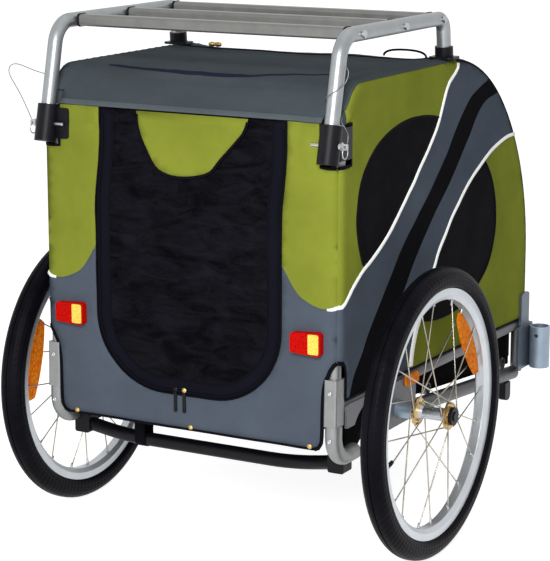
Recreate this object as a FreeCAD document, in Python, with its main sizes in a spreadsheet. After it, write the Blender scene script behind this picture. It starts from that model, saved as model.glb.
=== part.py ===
import FreeCAD, Part
import math
import os

from FreeCAD import Placement, Rotation, Vector

# Dog bike trailer: a two-wheeled tubular frame with a fabric cabin, a mesh rear door and a roof rack.
# Millimetres. +X is the trailer's right, +Y its travel, +Z up. The origin lies on the ground, midway
# between the rearmost and the foremost point. "forward" is measured from the wheel axle along +Y.

SIZES = {
    # Clearances
    "seat_gap": 0.3,
    "fit_clearance": 0.1,
    "running_clearance": 0.05,
    "door_clearance": 0.6,
    "cut_overrun": 5,
    # Wheels
    "wheel_offset": 83,
    "tyre_width": 40,
    "tyre_wall": 4,
    "tyre_bead_width": 23,
    "tyre_shoulder_radius": 18,
    "tread_groove_width": 2.4,
    "tread_groove_depth": 2,
    "rim_diameter": 430,
    "tyre_height": 35,
    "rim_width": 27,
    "rim_depth": 20,
    "rim_crown_width": 16,
    "rim_wall": 1.7,
    "rim_flange_height": 8,
    "rim_side_height": 12,
    "hub_length": 66,
    "hub_barrel_diameter": 22,
    "hub_barrel_length": 34,
    "hub_end_diameter": 33,
    "hub_bore_diameter": 16,
    "flange_diameter": 48,
    "flange_thickness": 3.5,
    "flange_spacing": 58,
    "spoke_diameter": 2.4,
    "spoke_hole_edge": 4,
    "spoke_rim_offset": 2.5,
    "bearing_diameter": 24,
    "bearing_width": 6,
    "axle_diameter": 12,
    "axle_head_diameter": 31,
    "axle_head_thickness": 6,
    "axle_tip_margin": 6,
    "button_diameter": 16,
    "button_height": 3,
    "button_recess_depth": 4.2,
    "button_rest_depth": 0.7,
    "button_stem_diameter": 7,
    "button_stem_length": 12,
    "button_stem_room": 6,
    "reflector_radial_width": 36,
    "reflector_end_width": 14,
    "reflector_rim_gap": 11,
    "reflector_thickness": 5,
    "reflector_arc_angle": 47,
    "right_reflector_angle": 33.8,
    "left_reflector_angle": 165.3,
    # Frame, with its heights over a base line that lies axle_rise under the axle
    "axle_rise": 250,
    "frame_spacing": 540,
    "hoop_diameter": 22,
    "hoop_wall": 2,
    "hoop_front_foot_height": 188,
    "hoop_rear_radius": 78,
    "upright_top_reach": 192,
    "elbow_diameter": 28,
    "elbow_corner_reach": 208.6,
    "elbow_height": 208,
    "elbow_radius": 42,
    "elbow_leg_length": 61,
    "elbow_foot_length": 75,
    "elbow_socket_depth": 20,
    "sleeve_width": 24,
    "sleeve_depth": 31,
    "sleeve_length": 78,
    "sleeve_corner_radius": 4,
    "upper_rail_diameter": 22,
    "rail_wall": 2,
    "upper_rail_slope": 1.1,
    "upper_rail_height": 292.5,
    "lower_rail_diameter": 26,
    "lower_rail_slope": 5.2,
    "lower_rail_height": 236,
    "receiver_tube_diameter": 30,
    "receiver_inner_inset": 18,
    "axle_beam_diameter": 28,
    "axle_beam_wall": 2.5,
    "axle_plate_thickness": 5,
    "axle_plate_front": 70,
    "axle_plate_foot": 220,
    "axle_plate_rise": 6,
    "axle_plate_rear_height": 262,
    "axle_plate_corner_radius": 10,
    "arch_radius": 72,
    "arch_reach": 105,
    "cross_tube_diameter": 22,
    "cross_tube_wall": 2,
    "rear_cross_tube_reach": 203,
    "middle_cross_tube_forward": 190,
    "front_cross_tube_forward": 533,
    "cross_bar_diameter": 24,
    "cross_bar_wall": 2,
    "cross_bar_reach": 150,
    "cross_bar_height": 176,
    "cross_bar_rise": 14,
    "cross_bar_end_inset": 15,
    "cross_bar_knee_inset": 105,
    "cross_bar_bend_radius": 600,
    "bar_clamp_width": 30,
    "bar_clamp_depth": 30,
    "bar_clamp_foot": 4,
    "bar_clamp_inset": 18,
    "bracket_thickness": 5,
    "bracket_rear": 527,
    "bracket_front": 597,
    "bracket_arm_rear": 538,
    "bracket_arm_front": 576,
    "bracket_bottom": 196,
    "bracket_shoulder": 282,
    "bracket_top": 345,
    "bracket_corner_radius": 8,
    "receiver_diameter": 39,
    "receiver_wall": 3,
    "receiver_height": 81,
    "receiver_bottom": 195,
    "receiver_forward": 585,
    "receiver_pin_diameter": 8,
    "receiver_pin_drop": 17,
    "front_foot_width": 14,
    "front_foot_depth": 24,
    "front_foot_height": 35,
    "front_foot_forward": 512,
    "front_foot_radius": 9,
    # Rack
    "rack_tube_diameter": 25,
    "rack_tube_wall": 2,
    "rack_rise": 71,
    "rack_leg_foot_reach": 233.5,
    "rack_rear_corner_reach": 188.3,
    "rack_rear_radius": 45,
    "rack_front_corner_forward": 193,
    "rack_front_foot_forward": 201,
    "rack_front_radius": 24,
    "rack_bar_height": 20,
    "rack_bar_depth": 25,
    "rack_bar_wall": 2,
    "rack_bar_corner_radius": 6,
    "rear_bar_reach": 137,
    "middle_bar_forward": 18,
    "front_bar_forward": 169,
    "rack_bolt_diameter": 12,
    "rack_bolt_height": 4,
    "socket_diameter": 36,
    "socket_length": 63,
    "socket_floor": 5,
    "socket_drop": 127,
    "socket_block_width": 34,
    "socket_block_rear": 224,
    "socket_block_front": 177,
    "socket_block_rise": 5,
    "socket_block_height": 52,
    "socket_corner_radius": 5,
    "socket_lug_width": 24,
    "socket_lug_thickness": 3.5,
    "rack_foot_diameter": 32,
    "rack_foot_height": 18,
    "rack_foot_base_width": 46,
    "rack_foot_base_depth": 40,
    "rack_foot_base_thickness": 4,
    "rack_foot_corner_radius": 9,
    "lock_pin_diameter": 6,
    "lock_pin_rise": 30,
    "lock_pin_tip_margin": 16,
    "lock_pin_head_diameter": 14,
    "lock_pin_head_thickness": 4,
    "lock_pin_tab_length": 10,
    "lock_pin_tab_height": 10,
    "lock_pin_tab_thickness": 3,
    "lock_pin_tab_hole": 4.4,
    "lock_pin_ring_diameter": 20,
    "lock_pin_ring_wire": 2,
    "lanyard_diameter": 1.6,
    # Cabin
    "fabric_thickness": 2,
    "mesh_thickness": 1,
    "body_rear_reach": 218.5,
    "body_front": 574,
    "roof_height": 827,
    "roof_edge_drop": 64,
    "roof_edge_reach": 215.5,
    "roof_break_reach": 163,
    "roof_rear_radius": 50,
    "roof_front": 198,
    "nose_upper_break_forward": 345,
    "nose_lower_break_height": 598,
    "nose_upper_radius": 345,
    "nose_lower_radius": 425,
    "side_hem_rise": 14,
    "side_notch_margin": 12,
    "side_notch_headroom": 3,
    "side_notch_front": 175.5,
    "side_notch_lip_reach": 199,
    "rear_hem_height": 228,
    "rear_corner_top": 370,
    "rear_corner_inset": 15.5,
    "rear_corner_radius": 25,
    "rear_shoulder_inset": 18.6,
    "roof_corner_inset": 18,
    "roof_corner_reach": 198,
    "door_inset": 92,
    "door_bottom": 287,
    "door_top_gap": 1,
    "door_corner_radius": 130,
    "door_border_width": 25,
    "flap_half_width": 108,
    "flap_drop": 107,
    "flap_side_height": 19,
    "flap_side_radius": 25,
    "flap_foot_half_width": 48,
    "flap_foot_radius": 45,
    "zip_pull_width": 6,
    "zip_pull_length": 34,
    "zip_pull_thickness": 2,
    "zip_pull_top": 290,
    "zip_pull_spacing": 17,
    "zip_pull_offset": 15,
    "window_forward": 132,
    "window_height": 556,
    "window_half_length": 293,
    "window_half_height": 176,
    "window_tilt": 14.3,
    "front_window_inset": 80,
    "front_window_bottom": 390,
    "front_window_top": 640,
    "front_window_corner_radius": 60,
    "floor_thickness": 8,
    "tub_wall_thickness": 3,
    "tub_skirt_drop": 15,
    "floor_front": 565,
    "tail_reflector_width": 56,
    "tail_reflector_height": 40,
    "tail_reflector_base": 4,
    "tail_reflector_lens": 8,
    "tail_reflector_red_width": 33,
    "tail_reflector_taper": 3.5,
    "tail_lens_margin": 3.2,
    "tail_reflector_inset": 41,
    "tail_reflector_centre_height": 406,
    "tail_reflector_radius": 6,
    "side_reflector_length": 48,
    "side_reflector_height": 18,
    "side_reflector_thickness": 5,
    "side_reflector_radius": 3,
    "side_reflector_forward": 48,
    "roof_loop_wire": 4,
    "roof_loop_length": 82,
    "roof_loop_rise": 14,
    "roof_loop_inset": 73,
    "roof_loop_forward": 196,
    "roof_loop_radius": 9,
}
SPOKES = 20
SPOKE_CROSSINGS = 2
SAME_POINT = 1e-6
LANYARD_ARC_SHARE = 0.45

# The diagonal band across each side window, as shares of the window's two half axes from its centre.
BAND_REAR_SHARES = ((0.17, 1.35), (-0.44, 0.40), (-1.13, -0.35))
BAND_FRONT_SHARES = ((1.16, 0.53), (0.42, -0.05), (-0.27, -1.25))

doc = FreeCAD.newDocument("DogBikeTrailer")
sheet = doc.addObject("Spreadsheet::Sheet", "Sizes")
for row, (alias, value) in enumerate(SIZES.items(), 1):
    sheet.set(f"A{row}", alias)
    sheet.set(f"B{row}", str(value))
    sheet.setAlias(f"B{row}", alias)
doc.recompute()


class NamedSizes:
    """The sheet's values, read by name."""

    def __getattr__(self, alias):
        return float(sheet.get(alias))


size = NamedSizes()
nodes = []
X_AXIS = Vector(1, 0, 0)
Y_AXIS = Vector(0, 1, 0)
Z_AXIS = Vector(0, 0, 1)

# Derived places
tyre_radius = size.rim_diameter / 2 + size.tyre_height
base_line = tyre_radius - size.axle_rise
frame_x = size.frame_spacing / 2
wheel_x = frame_x + size.wheel_offset
receiver_inner_x = frame_x - size.receiver_inner_inset
door_half_width = frame_x - size.door_inset
roof_corner_x = frame_x - size.roof_corner_inset
rear_shoulder_x = frame_x - size.rear_shoulder_inset
hoop_radius = size.hoop_diameter / 2
socket_radius = size.socket_diameter / 2
side_inner_x = frame_x + hoop_radius + size.seat_gap
side_outer_x = side_inner_x + size.fabric_thickness
strip_half_width = side_inner_x - size.seat_gap
lower_rail_x = strip_half_width - size.lower_rail_diameter / 2
rack_height = size.roof_height + size.rack_rise
socket_bottom = size.roof_height - size.socket_drop
socket_block_bottom = socket_bottom + size.socket_block_rise
socket_block_top = socket_block_bottom + size.socket_block_height
lock_pin_height = socket_bottom + size.lock_pin_rise
roof_edge_height = size.roof_height - size.roof_edge_drop
side_notch_bottom = socket_block_bottom - size.side_notch_margin
side_notch_top = socket_block_top + size.side_notch_headroom
rack_leg_lean = size.rack_leg_foot_reach - size.rack_rear_corner_reach
rack_leg_axis = Vector(0, rack_leg_lean, rack_height - socket_bottom).normalize()
rear_reach = max(tyre_radius, size.rack_leg_foot_reach + socket_radius * rack_leg_axis.z)
front_reach = max(size.receiver_forward + size.receiver_diameter / 2, size.bracket_front)
axle_y = (rear_reach - front_reach) / 2
upper_slope = math.radians(size.upper_rail_slope)
lower_slope = math.radians(size.lower_rail_slope)


def at(across, forward, height):
    """A point of the trailer: forward is measured from the axle, height from the base line."""
    return Vector(across, axle_y + forward, base_line + height)


def upper_rail_at(forward):
    return size.upper_rail_height - forward * math.tan(upper_slope)


def lower_rail_at(forward):
    return size.lower_rail_height - forward * math.tan(lower_slope)


def bind(thing, **expressions):
    """Tie properties of an object to the sheet."""
    for name, expression in expressions.items():
        thing.setExpression(name, expression)


def node(thing, label):
    """Make an object a sub-part under its own label."""
    thing.Label = label
    nodes.append(thing)
    return thing


# Outlines and paths

def flat(*pairs):
    """Corners in a sketch plane from (x, y) or (x, y, radius)."""
    return [(Vector(p[0], p[1], 0), p[2] if len(p) > 2 else 0) for p in pairs]


def rounded(corners, closed=True):
    """Straight runs joined by tangent arcs; a corner is a point with its radius.

    Where two arcs ask for more than the run between them has, both are drawn in alike.
    """
    points = [point for point, radius in corners]
    count = len(points)
    arms = []
    trims = []
    for i, (point, radius) in enumerate(corners):
        if radius == 0 or (not closed and i in (0, count - 1)):
            arms.append(None)
            trims.append(0.0)
            continue
        back = (points[i - 1] - point).normalize()
        ahead = (points[(i + 1) % count] - point).normalize()
        half = back.getAngle(ahead) / 2
        arms.append((back, ahead, half))
        trims.append(radius / math.tan(half))
    runs = count if closed else count - 1
    for i in range(runs):
        j = (i + 1) % count
        room = (points[j] - points[i]).Length
        asked = trims[i] + trims[j]
        if asked > room:
            trims[i] *= room / asked
            trims[j] *= room / asked
    before = list(points)
    after = list(points)
    arcs = [None] * count
    for i, arm in enumerate(arms):
        if arm is None:
            continue
        back, ahead, half = arm
        radius = trims[i] * math.tan(half)
        before[i] = points[i] + back * trims[i]
        after[i] = points[i] + ahead * trims[i]
        inward = (back + ahead).normalize()
        middle = points[i] + inward * (radius / math.sin(half) - radius)
        turn = (middle - before[i]).cross(after[i] - middle)
        ends = (before[i], after[i]) if turn.z >= 0 else (after[i], before[i])
        arcs[i] = Part.Arc(ends[0], middle, ends[1])
    edges = []
    for i in range(runs):
        j = (i + 1) % count
        if (before[j] - after[i]).Length > SAME_POINT:
            edges.append(Part.LineSegment(after[i], before[j]))
        if arcs[j] is not None:
            edges.append(arcs[j])
    return edges


def inset(corners, distance):
    """An open outline moved to its right-hand side, with its arcs shrunk alike."""
    points = [point for point, radius in corners]
    normals = []
    for start, end in zip(points, points[1:]):
        run = (end - start).normalize()
        normals.append(Vector(run.y, -run.x, 0))
    moved = [(points[0] + normals[0] * distance, 0)]
    for i in range(1, len(points) - 1):
        one, two = normals[i - 1], normals[i]
        shift = (one + two) * (distance / (1 + one.dot(two)))
        moved.append((points[i] + shift, max(corners[i][1] - distance, 0)))
    moved.append((points[-1] + normals[-1] * distance, 0))
    return moved


def strip(corners, thickness):
    """The closed outline of a sheet that follows an open outline on its right-hand side."""
    inner = inset(corners, thickness)
    ends = [Part.LineSegment(corners[k][0], inner[k][0]) for k in (0, -1)]
    return rounded(corners, closed=False) + rounded(inner, closed=False) + ends


def circle(x, y, radius):
    return [Part.Circle(Vector(x, y, 0), Z_AXIS, radius)]


def rectangle(x_low, y_low, x_high, y_high, radius):
    return rounded(flat((x_low, y_low, radius), (x_high, y_low, radius),
                        (x_high, y_high, radius), (x_low, y_high, radius)))


# Solids

def sketch_on(body, plane, *loops):
    sketch = body.newObject("Sketcher::SketchObject", body.Name + "_sketch")
    support = next(f for f in body.Origin.OriginFeatures if f.Role == plane)
    sketch.AttachmentSupport = [(support, "")]
    sketch.MapMode = "FlatFace"
    for loop in loops:
        sketch.addGeometry(loop, False)
    return sketch


def pad(name, plane, depth, centre, *loops):
    """A plate of an outline, centred on its plane; depth is an expression in named sizes."""
    body = doc.addObject("PartDesign::Body", name)
    feature = body.newObject("PartDesign::Pad", name + "_pad")
    feature.Profile = sketch_on(body, plane, *loops)
    feature.SideType = "Symmetric"
    bind(feature, Length=depth)
    body.Placement = Placement(centre, Rotation())
    return body


def turned(name, centre, *loops):
    """A piece turned about the X axis; outlines are (along the axis, radius)."""
    body = doc.addObject("PartDesign::Body", name)
    sketch = sketch_on(body, "XZ_Plane", *loops)
    feature = body.newObject("PartDesign::Revolution", name + "_turn")
    feature.Profile = sketch
    feature.ReferenceAxis = (sketch, ["H_Axis"])
    feature.Angle = 360
    body.Placement = Placement(centre, Rotation())
    return body


def rod(name, radius, start, end):
    """A round bar between two points; radius is an expression in named sizes."""
    bar = doc.addObject("Part::Cylinder", name)
    bind(bar, Radius=radius)
    bar.Height = (end - start).Length
    bar.Placement = Placement(start, Rotation(Z_AXIS, end - start))
    return bar


def cut(name, base, tool):
    result = doc.addObject("Part::Cut", name)
    result.Base = base
    result.Tool = tool
    return result


def fuse(name, *shapes):
    result = doc.addObject("Part::MultiFuse", name)
    result.Shapes = list(shapes)
    return result


def common(name, *shapes):
    result = doc.addObject("Part::MultiCommon", name)
    result.Shapes = list(shapes)
    return result


def mirrored(name, source):
    """The same piece on the other side of the trailer."""
    result = doc.addObject("Part::Mirroring", name)
    result.Source = source
    result.Normal = X_AXIS
    return result


def group(name, *members):
    result = doc.addObject("Part::Compound", name)
    result.Links = list(members)
    return result


def pair(name, right):
    """A node that holds a piece and its mirror image."""
    return node(group(name, right, mirrored(name + "_left_one", right)), name)


def both_sides(name, right):
    """Two nodes: the right piece and its mirror image."""
    node(right, name + "_right")
    node(mirrored(name + "_left", right), name + "_left")


def tube(name, diameter, wall, start, end):
    """A straight tube; diameter and wall are names of sizes."""
    outer = rod(name + "_outer", f"Sizes.{diameter} / 2", start, end)
    bore = rod(name + "_bore", f"Sizes.{diameter} / 2 - Sizes.{wall}", start, end)
    return cut(name, outer, bore)


def swept(name, radius, corners):
    """A round bar along straight runs and tangent arcs."""
    edges = [edge.toShape() for edge in rounded(corners, closed=False)]
    spine = doc.addObject("Part::Feature", name + "_path")
    spine.Shape = Part.Wire(Part.__sortEdges__(edges))
    section = doc.addObject("Part::Circle", name + "_section")
    bind(section, Radius=radius)
    start, ahead = corners[0][0], corners[1][0]
    section.Placement = Placement(start, Rotation(Z_AXIS, ahead - start))
    sweep = doc.addObject("Part::Sweep", name)
    sweep.Sections = [section]
    sweep.Spine = (spine, [])
    sweep.Solid = True
    return sweep


def bent_tube(name, diameter, bore_radius, corners):
    outer = swept(name + "_outer", f"Sizes.{diameter} / 2", corners)
    bore = swept(name + "_bore", bore_radius, corners)
    return cut(name, outer, bore)


# Wheels

rim_radius = size.rim_diameter / 2
rim_inner_radius = rim_radius - size.rim_depth
bead_seat = rim_radius - size.rim_flange_height
hub_half = size.hub_length / 2
flange_radius = size.flange_diameter / 2
axle_radius = size.axle_diameter / 2


def tyre_outline():
    """The carcass: beads inside the rim, round shoulders, a groove round the crown, open towards the rim."""
    half = size.tyre_width / 2
    bead = size.tyre_bead_width / 2
    wall = size.tyre_wall
    shoulder = size.tyre_shoulder_radius
    seat = bead_seat + size.seat_gap
    lip = rim_radius + size.seat_gap
    flare = rim_radius + wall
    groove = size.tread_groove_width / 2
    bottom = tyre_radius - size.tread_groove_depth
    right = [(bead, seat), (bead, lip), (half, flare, wall * 2), (half, tyre_radius, shoulder),
             (groove, tyre_radius), (groove, bottom)]
    outer = right + [(-corner[0], *corner[1:]) for corner in reversed(right)]
    inner_bead = bead - wall
    inner = [(half - wall, flare, wall), (half - wall, tyre_radius - wall, shoulder - wall)]
    mirror = [(-x, y, radius) for x, y, radius in inner]
    return rounded(flat(*outer, (-inner_bead, seat), (-inner_bead, rim_radius), *mirror,
                        *reversed(inner), (inner_bead, rim_radius), (inner_bead, seat)))


def rim_outlines():
    """A double-walled rim: flanges for the tyre above a closed box section."""
    half = size.rim_width / 2
    wall = size.rim_wall
    crown = size.rim_crown_width / 2
    side = rim_radius - size.rim_side_height
    outer = rounded(flat((half, rim_radius), (half, side, wall), (crown, rim_inner_radius, wall),
                         (-crown, rim_inner_radius, wall), (-half, side, wall), (-half, rim_radius),
                         (wall - half, rim_radius), (wall - half, bead_seat), (half - wall, bead_seat),
                         (half - wall, rim_radius)))
    box = rounded(flat((half - wall * 2, bead_seat - wall), (half - wall * 2, side),
                       (crown - wall, rim_inner_radius + wall), (wall - crown, rim_inner_radius + wall),
                       (wall * 2 - half, side), (wall * 2 - half, bead_seat - wall)))
    return outer, box


def hub_outline():
    """Barrel, flared ends with spoke flanges, bearing seats at both ends."""
    barrel = size.hub_barrel_diameter / 2
    end = size.hub_end_diameter / 2
    bore = size.hub_bore_diameter / 2
    seat = size.bearing_diameter / 2 + size.running_clearance
    step = hub_half - size.bearing_width
    middle = size.hub_barrel_length / 2
    inner = (size.flange_spacing - size.flange_thickness) / 2
    outer = (size.flange_spacing + size.flange_thickness) / 2
    right = [(middle, barrel), (inner, end), (inner, flange_radius), (outer, flange_radius), (outer, end),
             (hub_half, end), (hub_half, seat), (step, seat), (step, bore)]
    left = [(-x, y) for x, y in reversed(right)]
    return rounded(flat(*right, *left))


def spokes(name, centre):
    """Crossed spokes: every other one on each flange, heads inside and outside it in turn."""
    holes = SPOKES / 2
    hole_radius = flange_radius - size.spoke_hole_edge
    rim_end = rim_inner_radius - size.seat_gap
    head = (size.flange_thickness + size.spoke_diameter) / 2 + size.seat_gap
    turn = math.radians(360 * SPOKE_CROSSINGS / holes)
    run = math.sqrt(hole_radius ** 2 + rim_end ** 2 - 2 * hole_radius * rim_end * math.cos(turn))
    outward = (hole_radius * rim_end * math.cos(turn) - hole_radius ** 2) / run
    clear_radius = flange_radius + size.spoke_diameter / 2
    over_flange = math.sqrt(outward ** 2 + clear_radius ** 2 - hole_radius ** 2) - outward
    bars = []
    for i in range(SPOKES):
        side = 1 if i % 2 == 0 else -1
        lead = 1 if (i // 2) % 2 == 0 else -1
        at_rim = math.radians(360 * i / SPOKES)
        at_hub = at_rim - lead * turn
        hub_x = size.flange_spacing / 2 + lead * head
        if lead > 0:
            hub_x += (hub_x - size.spoke_rim_offset) * over_flange / (run - over_flange)
        hub_x *= side
        start = centre + Vector(hub_x, hole_radius * math.cos(at_hub), hole_radius * math.sin(at_hub))
        end = centre + Vector(side * size.spoke_rim_offset, rim_end * math.cos(at_rim),
                              rim_end * math.sin(at_rim))
        bars.append(rod(f"{name}_{i}", "Sizes.spoke_diameter / 2", start, end))
    return group(name, *bars)


def spoke_reflector(name, centre, angle):
    """A crescent of an amber reflector between the spokes, near the rim, narrower at its ends."""
    outer = rim_inner_radius - size.reflector_rim_gap
    inner = outer - size.reflector_radial_width
    inner_end = outer - size.reflector_end_width
    half_span = math.radians(size.reflector_arc_angle / 2)

    def polar(radius, turn):
        return Vector(radius * math.cos(turn), radius * math.sin(turn), 0)

    outer_ends = [polar(outer, turn) for turn in (-half_span, half_span)]
    inner_ends = [polar(inner_end, turn) for turn in (-half_span, half_span)]
    loop = [Part.Arc(outer_ends[0], polar(outer, 0), outer_ends[1]),
            Part.Arc(inner_ends[0], polar(inner, 0), inner_ends[1])]
    loop += [Part.LineSegment(near, far) for near, far in zip(inner_ends, outer_ends)]
    body = pad(name, "YZ_Plane", "Sizes.reflector_thickness", centre, loop)
    body.Placement = Placement(centre, Rotation(X_AXIS, angle))
    return body


def axle_loop(side):
    """Stub axle: a plain shaft from the frame's receiver to a recessed head outside the hub."""
    head_near = wheel_x + hub_half + size.seat_gap
    head_far = head_near + size.axle_head_thickness
    recess = head_far - size.button_recess_depth
    bore_end = recess - size.button_stem_length - size.button_stem_room
    tip = receiver_inner_x + size.axle_tip_margin
    stem = size.button_stem_diameter / 2 + size.running_clearance
    cap = size.button_diameter / 2 + size.seat_gap
    head = size.axle_head_diameter / 2
    return rounded(flat(*[(side * x, y) for x, y in (
        (tip, 0), (tip, axle_radius), (head_near, axle_radius), (head_near, head), (head_far, head),
        (head_far, cap), (recess, cap), (recess, stem), (bore_end, stem), (bore_end, 0))]))


def button_loop(side):
    """Quick-release button: a round cap in the axle head's recess on a stem down the axle."""
    head_far = wheel_x + hub_half + size.seat_gap + size.axle_head_thickness
    cap_low = head_far - size.button_rest_depth
    cap_high = cap_low + size.button_height
    stem_end = head_far - size.button_recess_depth - size.button_stem_length
    stem = size.button_stem_diameter / 2
    cap = size.button_diameter / 2
    return rounded(flat(*[(side * x, y) for x, y in (
        (stem_end, 0), (stem_end, stem), (cap_low, stem), (cap_low, cap), (cap_high, cap), (cap_high, 0))]))


def wheel(side_name, side):
    centre = at(side * wheel_x, 0, size.axle_rise)
    on_axis = at(0, 0, size.axle_rise)
    node(turned(f"tyre_{side_name}", centre, tyre_outline()), f"tyre_{side_name}")
    node(turned(f"rim_{side_name}", centre, *rim_outlines()), f"rim_{side_name}")
    node(turned(f"hub_{side_name}", centre, hub_outline()), f"hub_{side_name}")
    node(spokes(f"spokes_{side_name}", centre), f"spokes_{side_name}")
    ring_outer = size.bearing_diameter / 2
    ring_inner = axle_radius + size.running_clearance
    ring_near = hub_half - size.bearing_width + size.running_clearance
    rings = []
    for end in (1, -1):
        loop = rounded(flat(*[(end * x, y) for x, y in (
            (ring_near, ring_inner), (ring_near, ring_outer),
            (hub_half, ring_outer), (hub_half, ring_inner))]))
        rings.append(turned(f"bearing_{side_name}_{'outer' if end > 0 else 'inner'}", centre, loop))
    node(group(f"hub_bearings_{side_name}", *rings), f"hub_bearings_{side_name}")
    angle = size.right_reflector_angle if side > 0 else size.left_reflector_angle
    reflector = spoke_reflector(f"spoke_reflector_{side_name}", centre, angle)
    node(reflector, f"spoke_reflector_{side_name}")
    node(turned(f"axle_{side_name}", on_axis, axle_loop(side)), f"axle_{side_name}")
    node(turned(f"axle_button_{side_name}", on_axis, button_loop(side)), f"axle_button_{side_name}")


# The cabin's side profile, from the rear roof edge over the roof and the nose down to the front hem.

front_hem = upper_rail_at(size.body_front) + size.side_hem_rise
ROOF_EDGE = (-size.roof_edge_reach, roof_edge_height)
ROOF_BREAK = (-size.roof_break_reach, size.roof_height, size.roof_rear_radius)
NOSE_UPPER = (size.nose_upper_break_forward, size.roof_height, size.nose_upper_radius)
NOSE_LOWER = (size.body_front, size.nose_lower_break_height, size.nose_lower_radius)
FRONT_HEM = (size.body_front, front_hem)


def side_hoops():
    """One bent tube a side: rear upright, roof tube, nose and front upright, under the fabric."""
    depth = size.fabric_thickness + size.seat_gap + hoop_radius
    roof = inset(flat(ROOF_BREAK, NOSE_UPPER, NOSE_LOWER, FRONT_HEM), depth)
    nose = [(at(frame_x, point.x, point.y), radius) for point, radius in roof[1:3]]
    foot = at(frame_x, size.body_front - depth, size.hoop_front_foot_height)
    corner = (hoop_rear_corner, size.hoop_rear_radius)
    corners = [(hoop_foot, 0), corner, *nose, (foot, 0)]
    both_sides("side_hoop", bent_tube("side_hoop", "hoop_diameter",
                                      "Sizes.hoop_diameter / 2 - Sizes.hoop_wall", corners))


elbow_corner = at(frame_x, -size.elbow_corner_reach, size.elbow_height)
hoop_rear_corner = at(frame_x, -size.upright_top_reach,
                      size.roof_height - size.fabric_thickness - size.seat_gap - hoop_radius)
upright_axis = (hoop_rear_corner - elbow_corner).normalize()
elbow_top = elbow_corner + upright_axis * size.elbow_leg_length
hoop_foot = elbow_top - upright_axis * size.elbow_socket_depth
sleeve_front = size.elbow_corner_reach - size.sleeve_depth / 2


def upright_at(height):
    """The rear upright's centre line at a height."""
    return elbow_corner + upright_axis * ((base_line + height - elbow_corner.z) / upright_axis.z)


def corner_elbows():
    """Cast elbows that take the uprights and turn forward under the floor."""
    foot = elbow_corner + Y_AXIS * size.elbow_foot_length
    corners = [(elbow_top, 0), (elbow_corner, size.elbow_radius), (foot, 0)]
    pair("corner_elbows", bent_tube("corner_elbow", "elbow_diameter",
                                    "Sizes.hoop_diameter / 2 + Sizes.fit_clearance", corners))


def upright_sleeves():
    """Flat-sided sleeves round the foot of each upright, seated on the elbows."""
    half_width = size.sleeve_width / 2
    half_depth = size.sleeve_depth / 2
    loops = (rectangle(-half_width, -half_depth, half_width, half_depth, size.sleeve_corner_radius),
             circle(0, 0, hoop_radius + size.fit_clearance))
    body = pad("upright_sleeve", "XY_Plane", "Sizes.sleeve_length", Vector(), *loops)
    middle = elbow_top + upright_axis * (size.seat_gap + size.sleeve_length / 2)
    body.Placement = Placement(middle, Rotation(Z_AXIS, upright_axis))
    pair("upright_sleeves", body)


def rail(name, label, across, slope, height_at, start, front):
    """One sloped rail a side, with its square ends just clear of what they meet."""
    lean = getattr(size, label + "_diameter") / 2 * math.sin(slope)
    low, high = start + lean, front - lean
    right = tube(name, label + "_diameter", "rail_wall", at(across, low, height_at(low)),
                 at(across, high, height_at(high)))
    pair(name + "s", right)
    return low


def rails():
    """Two rails a side: from the rear upright and from the axle to the front upright."""
    front = size.body_front - size.fabric_thickness - size.hoop_diameter - size.seat_gap * 2
    rear_face = upright_at(upper_rail_at(-sleeve_front)).y - axle_y + size.sleeve_depth / 2
    rear = rear_face + size.seat_gap + size.sleeve_depth / 2 * (1 - upright_axis.z)
    rail("lower_rail", "lower_rail", lower_rail_x, lower_slope, lower_rail_at,
         size.receiver_tube_diameter / 2 + size.seat_gap, front)
    return rail("upper_rail", "upper_rail", frame_x, upper_slope, upper_rail_at, rear, front)


def axle_carriers(plate_rear):
    """Axle receivers, the beam between them and the outer plates with a half-round cut-out."""
    outer_end = wheel_x - hub_half - size.seat_gap
    inner_end = receiver_inner_x
    body = rod("axle_receiver_body", "Sizes.receiver_tube_diameter / 2", at(inner_end, 0, size.axle_rise),
               at(outer_end, 0, size.axle_rise))
    bore = rod("axle_receiver_bore", "Sizes.axle_diameter / 2 + Sizes.fit_clearance",
               at(inner_end, 0, size.axle_rise), at(outer_end, 0, size.axle_rise))
    pair("axle_receivers", cut("axle_receiver", body, bore))
    beam_end = inner_end - size.seat_gap
    node(tube("axle_beam", "axle_beam_diameter", "axle_beam_wall", at(-beam_end, 0, size.axle_rise),
              at(beam_end, 0, size.axle_rise)), "axle_beam")
    front = size.axle_plate_front
    foot = size.axle_plate_foot
    arch_forward = -size.arch_reach
    step = size.axle_plate_rear_height
    reach = math.sqrt(size.arch_radius ** 2 - (step - foot) ** 2)
    arch_rear = Vector(arch_forward - reach, step, 0)
    arch_front = Vector(arch_forward + size.arch_radius, foot, 0)
    arch_top = Vector(arch_forward, foot + size.arch_radius, 0)
    rise = size.axle_plate_rise
    radius = size.axle_plate_corner_radius
    outside = flat((front, foot, radius), (front, upper_rail_at(front) + rise, radius),
                   (plate_rear, upper_rail_at(plate_rear) + rise, radius), (plate_rear, step))
    open_side = rounded([(arch_front, 0), *outside, (arch_rear, 0)], closed=False)
    loop = open_side + [Part.Arc(arch_front, arch_top, arch_rear)]
    hole = circle(0, size.axle_rise, size.receiver_tube_diameter / 2 + size.seat_gap)
    centre = at(side_inner_x + size.axle_plate_thickness / 2, 0, 0)
    pair("axle_plates", pad("axle_plate", "YZ_Plane", "Sizes.axle_plate_thickness", centre, loop, hole))


floor_rise = size.axle_rise + size.axle_beam_diameter / 2 + size.seat_gap - size.lower_rail_height


def floor_bottom_at(forward):
    return lower_rail_at(forward) + floor_rise


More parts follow.
